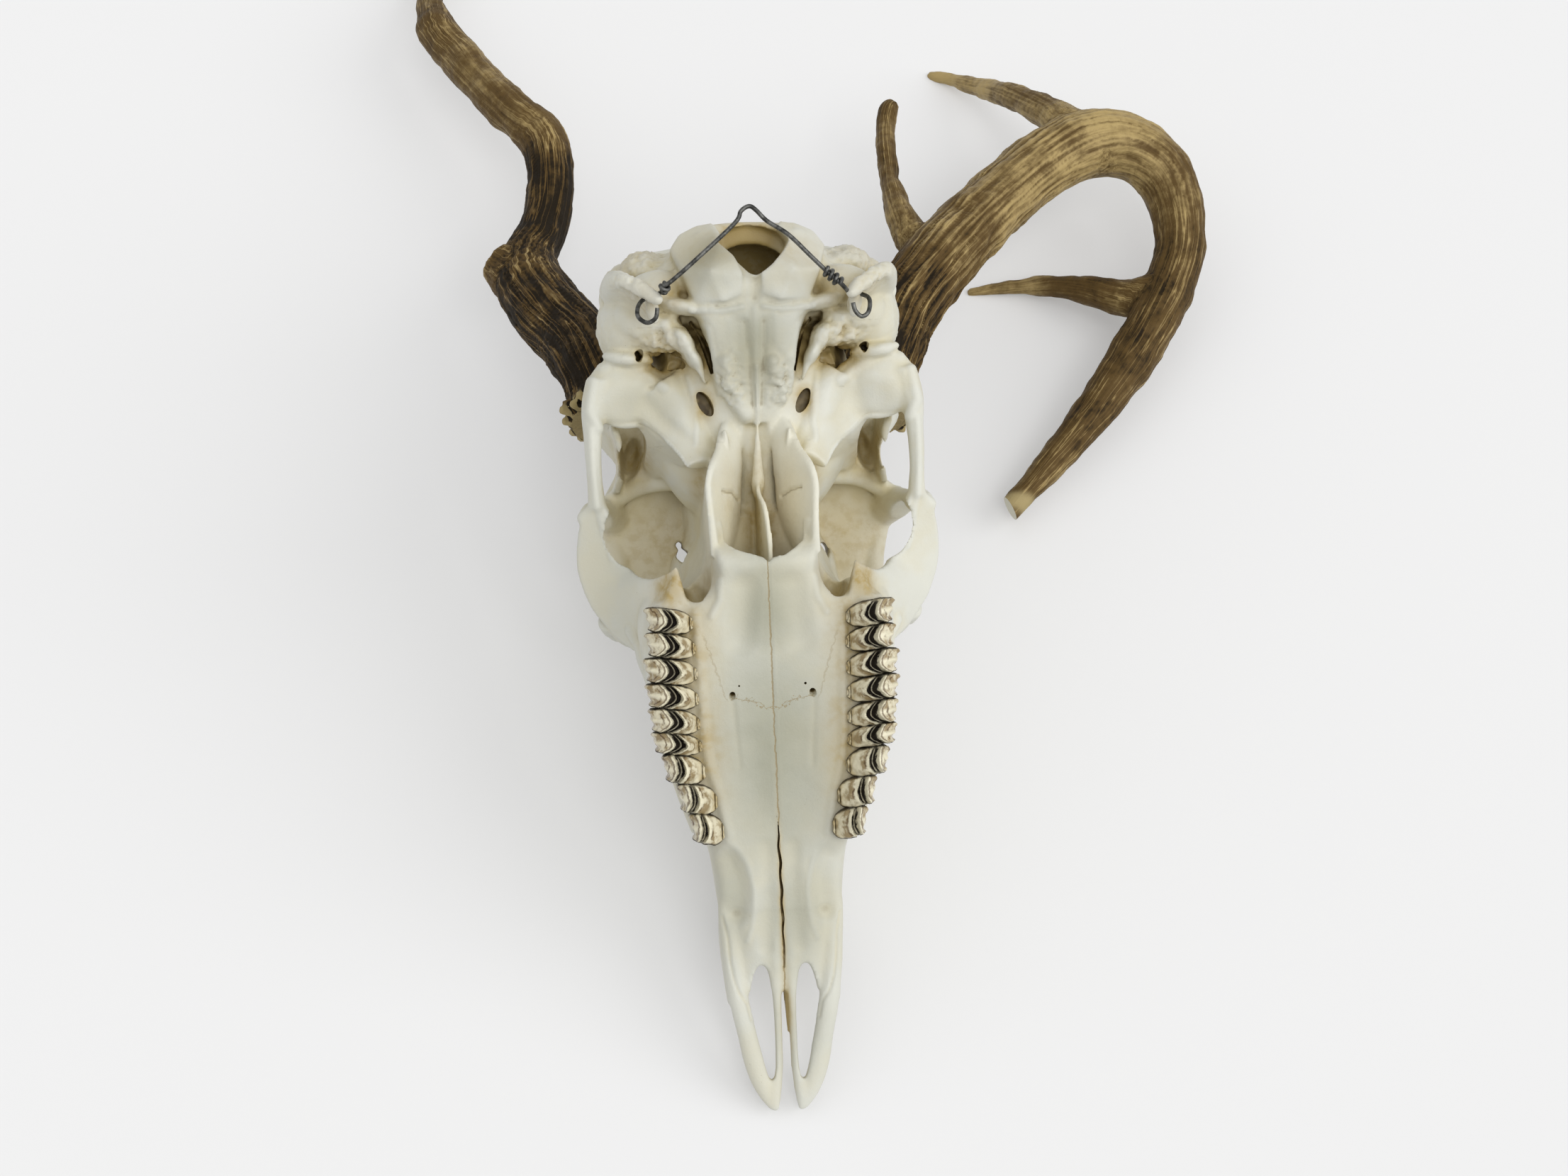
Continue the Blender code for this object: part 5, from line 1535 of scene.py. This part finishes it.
def add_burr(shape, side):
    """The ridged ring where the antler grows from its pedicle."""
    middle, axis = burr_place(side)
    across = axis.orthogonal().normalized()
    for k in range(BURR_RIDGES):
        angle = math.tau * k / BURR_RIDGES + 0.03 * math.sin(4.1 * k)
        out = across * math.cos(angle) + axis.cross(across) * math.sin(angle)
        reach = BURR_RADIUS + 1.3 * math.sin(5.3 * k + side) + 0.8 * math.sin(2.1 * k)
        foot = middle + axis * (2.6 + 0.7 * math.sin(2.9 * k))
        ridge = ((*(foot + out * 11), 1.2), (*(foot + out * (reach - 2)), 1.4),
                 (*(foot + out * reach), 0.9))
        tube(shape, ridge, sides=10, steps=1, flat=(0.9, 1.9), up=axis)
        egg(shape, foot + out * (reach - 0.6), (1.55, 1.55, 1.8))
        egg(shape, foot + out * (reach - 2.6) + axis * 3.4, (1.2, 1.2, 1.3))


def beam_places(co, lines):
    """For each point: place round the nearest beam, share of the length and paleness."""
    best = np.full(len(co), np.inf)
    around = np.zeros((len(co), 3))
    share, tone = np.zeros(len(co)), np.zeros(len(co))
    for line, start, total in lines:
        path = np.array(curve_through(line, 4))
        steps = np.linalg.norm(np.diff(path[:, :3], axis=0), axis=1)
        marks = np.concatenate(([0], np.cumsum(steps)))
        side = np.array((0.35, 0.2, 0.91))
        for k in range(len(path) - 1):
            head, tail = path[k, :3], path[k + 1, :3]
            along = tail - head
            length = max(np.linalg.norm(along), 1e-6)
            ahead = along / length
            t = np.clip((co - head) @ ahead / length, 0, 1)
            off = co - head - (t * length)[:, None] * ahead
            radius = path[k, 3] * (1 - t) + path[k + 1, 3] * t
            gap = np.linalg.norm(off, axis=1) / radius
            nearer = gap < best
            across = np.cross(ahead, side)
            across /= np.linalg.norm(across)
            lift = np.cross(across, ahead)
            off = off[nearer] / np.linalg.norm(off[nearer], axis=1)[:, None]
            best[nearer] = gap[nearer]
            reach = marks[k] + t[nearer] * length
            girth = 0.5 * radius[nearer] + 4.5
            around[nearer] = np.stack((off @ across * girth, off @ lift * girth,
                                       reach + start), axis=1)
            share[nearer] = np.clip((reach + start) / total, 0, 1)
            tone[nearer] = path[k, 4] * (1 - t[nearer]) + path[k + 1, 4] * t[nearer]
    return around, share, tone


def furrows(places, share):
    """Depth of the lengthwise furrows, from 0 on the ridges between them to 1."""
    deep = np.empty(len(places))
    for i, (u, v, w) in enumerate(places):
        ridge = noise.noise(Vector((u * 0.40, v * 0.40, w * 0.020)))
        finer = noise.noise(Vector((u * 0.85, v * 0.85, w * 0.045 + 9)))
        deep[i] = 1 - min(1.0, 3.4 * abs(ridge + 0.4 * finer))
    return deep * np.clip(1.15 - share, 0.15, 1)


def shape_antler(antler, lines, side):
    """Furrow the antler's skin lengthwise, and keep what its material reads."""
    mesh = antler.data
    co = points_of(mesh)
    middle, axis = burr_place(side)
    height = (co - np.array(middle)) @ np.array(axis)
    beyond = smooth_step(4.0, 9.0, height)
    places, share, tone = beam_places(co, lines)
    deep = furrows(places, share)
    lumps = np.array([noise.fractal(Vector(p * 0.085), 1.0, 2.0, 3) for p in co])
    lift = 0.8 * lumps - (0.8 if side < 0 else 1.15) * deep * np.clip(1.1 - share, 0.12, 1)
    move_points(mesh, co + normals_of(mesh) * (lift * beyond)[:, None])
    ends = edges_of(mesh)
    store(mesh, "beam", relax(places, ends, 2))
    store(mesh, "tone", relax(tone, ends, 8))
    store(mesh, "furrow", np.clip(hollowness(mesh, 6) / 0.22, -1, 1))
    store(mesh, "burr", np.exp(-((height - 2.4) / 3.2) ** 4))


def burr_cutter(side):
    """The pedicle's side of the burr's plane, where the antler must not reach."""
    middle, axis = burr_place(side)
    shape = bmesh.new()
    turn = axis.to_track_quat("Z", "Y").to_matrix().to_4x4()
    bmesh.ops.create_cone(shape, cap_ends=True, segments=48, radius1=24, radius2=24, depth=30,
                          matrix=Matrix.Translation(middle - axis * 15) @ turn)
    return object_from("burr cutter", shape)


def saw_off(antler):
    """Cut the tip off flat."""
    shape = bmesh.new()
    shape.from_mesh(antler.data)
    point, facing = SAWN_END
    near = [face for face in shape.faces
            if (face.calc_center_median() - Vector(point)).length < SAW_REACH]
    parts = dict.fromkeys(part for face in near for part in (face, *face.verts, *face.edges))
    cut_off(shape, point, facing, list(parts))
    shape.to_mesh(antler.data)
    shape.free()


def make_antler(name, side, lines, grain):
    shape = bmesh.new()
    for line, _, _ in lines:
        tube(shape, line, sides=32, steps=5, up=(0.1, 0.2, 1))
    add_burr(shape, side)
    antler = blend(object_from(name, shape), grain, rounds=1)
    cut_away(antler, burr_cutter(side))
    shape_antler(antler, lines, side)
    return antler


# ---------------------------------------------------------------- the hanging wire

WIRE_RADIUS = 0.72
WIRE_PATH = (
    (-31.2, 80.6, -3.6), (-31.9, 77.4, -4.0), (-34.6, 76.1, -4.8), (-37.2, 78.0, -6),
    (-37.4, 80.8, -7.8), (-36.0, 83.4, -10), (-33.2, 85.0, -11), (-30.4, 85.6, -9),
    (-29.4, 86.2, -6), (-29.4, 87.2, -3.8), (-26.5, 88.8, -3.0), (-18.8, 95, -2.6),
    (-5.6, 106.5, -4), (-3.3, 110.4, -4), (-0.6, 111.9, -4), (1.6, 110.5, -4),
    (4.9, 107, -4), (11.4, 102.4, -3), (18.5, 95, -2.6), (23.4, 90.0, -2.8),
    (27.8, 85.9, -3.0), (29.6, 84.2, -5.4), (31, 83.4, -9), (34, 83.4, -11),
    (36.6, 82, -9), (36.9, 79.5, -6.5), (35.9, 76.6, -5), (33.8, 75.6, -4.4),
    (31.9, 77.4, -4.0), (31.2, 80.0, -3.6))
# The twists: from, to, turns and the radius round the wire.
WIRE_TWISTS = (((22.8, 90.6, -2.8), (27.4, 86.3, -3.0), 3.2, 1.45),
               ((-28.2, 87.6, -3.4), (-29.4, 86.2, -4.6), 1.6, 1.4))


def make_wire():
    shape = bmesh.new()
    tube(shape, [(*point, WIRE_RADIUS) for point in WIRE_PATH], sides=14, steps=6,
         up=(0.03, 0.05, 1))
    for start, end, turns, radius in WIRE_TWISTS:
        start, end = Vector(start), Vector(end)
        ahead = (end - start).normalized()
        across = ahead.orthogonal().normalized()
        lift = ahead.cross(across)
        count = int(turns * 14)
        coil = []
        for k in range(count + 1):
            angle = math.tau * turns * k / count
            spot = start.lerp(end, k / count)
            spot += (across * math.cos(angle) + lift * math.sin(angle)) * radius
            coil.append((*spot, WIRE_RADIUS * 0.9))
        tube(shape, coil, sides=10, steps=1, up=ahead)
    return object_from("hanging_wire_detailed", shape)


# ---------------------------------------------------------------- operators

BONE_SLICES = (
    ("occiput_bone", 76.0, None, ("occiput",)),
    ("braincase_bone", 55.0, 76.0, ("braincase",)),
    ("sphenoid_bone", 38.0, 55.0, ("sphenoid",)),
    ("frontal_bone", 10.0, 38.0, ("frontal",)),
    ("cheek_bone", -26.0, 10.0, ("zygomatic_left", "zygomatic_right")),
    ("upper_jaw_bone", -70.0, -26.0, ("maxilla_left", "maxilla_right")),
    ("nose_bone", -109.0, -70.0, ("nasal_left", "nasal_right")),
    ("muzzle_bone", None, -109.0, ("premaxilla_left", "premaxilla_right")))


class DEER_OT_bones(bpy.types.Operator):
    """Build the skull's bones"""
    bl_idname = "deer.bones"
    bl_label = "Bones"

    def execute(self, context):
        settings = context.scene.deer_skull
        skull = make_bones(settings.grain * QUICK, settings.plate * QUICK)
        finish_bones(skull)
        material = make_bone_material(settings, shared_groups())
        for name, low, high, nodes in BONE_SLICES:
            lay_down(slice_between(skull, name, low, high), material, nodes)
        drop(skull)
        return {"FINISHED"}


class DEER_OT_teeth(bpy.types.Operator):
    """Build both rows of cheek teeth"""
    bl_idname = "deer.teeth"
    bl_label = "Teeth"

    def execute(self, context):
        settings = context.scene.deer_teeth
        material = make_tooth_material(settings, shared_groups())
        for name, side in (("teeth_left", -1), ("teeth_right", 1)):
            row = make_tooth_row(name, side, settings.height)
            lay_down(row, material, (), sharp=80)
        return {"FINISHED"}


class DEER_OT_antlers(bpy.types.Operator):
    """Build both antlers"""
    bl_idname = "deer.antlers"
    bl_label = "Antlers"

    def execute(self, context):
        settings = context.scene.deer_antlers
        grain = settings.grain * QUICK
        material = make_antler_material(settings, shared_groups())
        left = make_antler("antler_left", -1, LEFT_LINES, grain)
        right = make_antler("antler_right", 1, RIGHT_LINES, grain)
        saw_off(right)
        lay_down(left, material, LEFT_NODES)
        lay_down(right, material, RIGHT_NODES)
        return {"FINISHED"}


class DEER_OT_wire(bpy.types.Operator):
    """Build the wire that the skull hangs from"""
    bl_idname = "deer.wire"
    bl_label = "Hanging wire"

    def execute(self, context):
        lay_down(make_wire(), make_wire_material(shared_groups()), ("hanging_wire",))
        return {"FINISHED"}


CAMERA_SWING = 4.0          # how far the view is turned to one side, in degrees
CAMERA_ROLL = 2.46          # how far the camera is tipped round its own axis, in degrees
CAMERA_AIM = (5, -10, 0)
CAMERA_DISTANCE = 1100


def camera_place():
    """The camera's placement: it looks at the palate, turned a little to one side."""
    swing, roll = math.radians(CAMERA_SWING), math.radians(CAMERA_ROLL)
    view = Vector((math.sin(swing), 0, -math.cos(swing)))
    level = Vector((math.cos(swing), 0, math.sin(swing)))
    rise = Vector((0, 1, 0))
    right = math.cos(roll) * level - math.sin(roll) * rise
    up = math.sin(roll) * level + math.cos(roll) * rise
    spot = (Vector(CAMERA_AIM) - CAMERA_DISTANCE * view) * MM
    turn = Matrix((right, up, -view)).transposed().to_4x4()
    unscaled = rest_placement() @ Matrix.Diagonal((1 / MM, 1 / MM, 1 / MM, 1))
    return unscaled @ Matrix.Translation(spot) @ turn


# The soft lights: their name, where they come from in the skull's own axes, the setting
# that they follow, their share of it, and how wide they are, in degrees.
LAMPS = (("key", (0.76, 0.16, 0.64), "key", 1.0, 50.0),
         ("front", (0.14, 0.02, 1.0), "front", 1.0, 30.0),
         ("fill", (-0.5, 0.7, 0.9), "key", 0.3, 80.0))


class DEER_OT_stage(bpy.types.Operator):
    """Set up the floor, the light and the camera"""
    bl_idname = "deer.stage"
    bl_label = "Floor, light and camera"

    def execute(self, context):
        settings = context.scene.deer_stage
        scene = context.scene
        shape = bmesh.new()
        bmesh.ops.create_grid(shape, x_segments=4, y_segments=4, size=6)
        floor = object_from("floor", shape)
        material, shader, _ = new_material("Plain floor", 0.9, 0.1)
        shader.inputs["Base Color"].default_value = (*settings.floor, 1)
        shader.inputs["Emission Color"].default_value = (1, 1, 1, 1)
        shader.inputs["Emission Strength"].default_value = settings.glow
        floor.data.materials.append(material)

        camera = bpy.data.cameras.new("camera")
        camera.sensor_width = 36
        camera.lens = settings.lens
        camera.clip_end = 20
        eye = new_object("camera", camera)
        eye.matrix_world = camera_place()
        scene.camera = eye

        for name, aim, strength, share, softness in LAMPS:
            lamp = bpy.data.lights.new(name, "SUN")
            lamp.energy = getattr(settings, strength) * share
            lamp.angle = math.radians(softness)
            holder = new_object(name, lamp)
            towards = rest_turn() @ Vector(aim)
            holder.location = towards.normalized() * 2
            holder.rotation_euler = towards.to_track_quat("Z", "Y").to_euler()
        world = bpy.data.worlds.new("daylight")
        world.use_nodes = True
        sky = world.node_tree.nodes["Background"].inputs
        sky["Color"].default_value = (1, 1, 1, 1)
        sky["Strength"].default_value = settings.daylight
        scene.world = world
        scene.view_settings.view_transform = "Standard"
        return {"FINISHED"}


class DEER_PT_panel(bpy.types.Panel):
    """Lists the steps of the skull"""
    bl_idname = "DEER_PT_panel"
    bl_label = "Deer skull"
    bl_space_type = "VIEW_3D"
    bl_region_type = "UI"
    bl_category = "Deer skull"

    def draw(self, context):
        for operator in STEPS:
            self.layout.operator(operator.bl_idname)
        for group in ("deer_skull", "deer_teeth", "deer_antlers", "deer_stage"):
            settings = getattr(context.scene, group)
            box = self.layout.box()
            for name in settings.__annotations__:
                box.prop(settings, name)


SETTINGS = {"deer_skull": SkullSettings, "deer_teeth": ToothSettings,
            "deer_antlers": AntlerSettings, "deer_stage": StageSettings}
STEPS = (DEER_OT_bones, DEER_OT_teeth, DEER_OT_antlers, DEER_OT_wire, DEER_OT_stage)


def register():
    for thing in (*SETTINGS.values(), *STEPS, DEER_PT_panel):
        bpy.utils.register_class(thing)
    for name, group in SETTINGS.items():
        setattr(bpy.types.Scene, name, PointerProperty(type=group))


def unregister():
    for name in SETTINGS:
        delattr(bpy.types.Scene, name)
    for thing in reversed((*SETTINGS.values(), *STEPS, DEER_PT_panel)):
        bpy.utils.unregister_class(thing)


def main():
    register()
    bpy.ops.deer.bones()
    bpy.ops.deer.teeth()
    bpy.ops.deer.antlers()
    bpy.ops.deer.wire()
    bpy.ops.deer.stage()


if __name__ == "__main__":
    main()
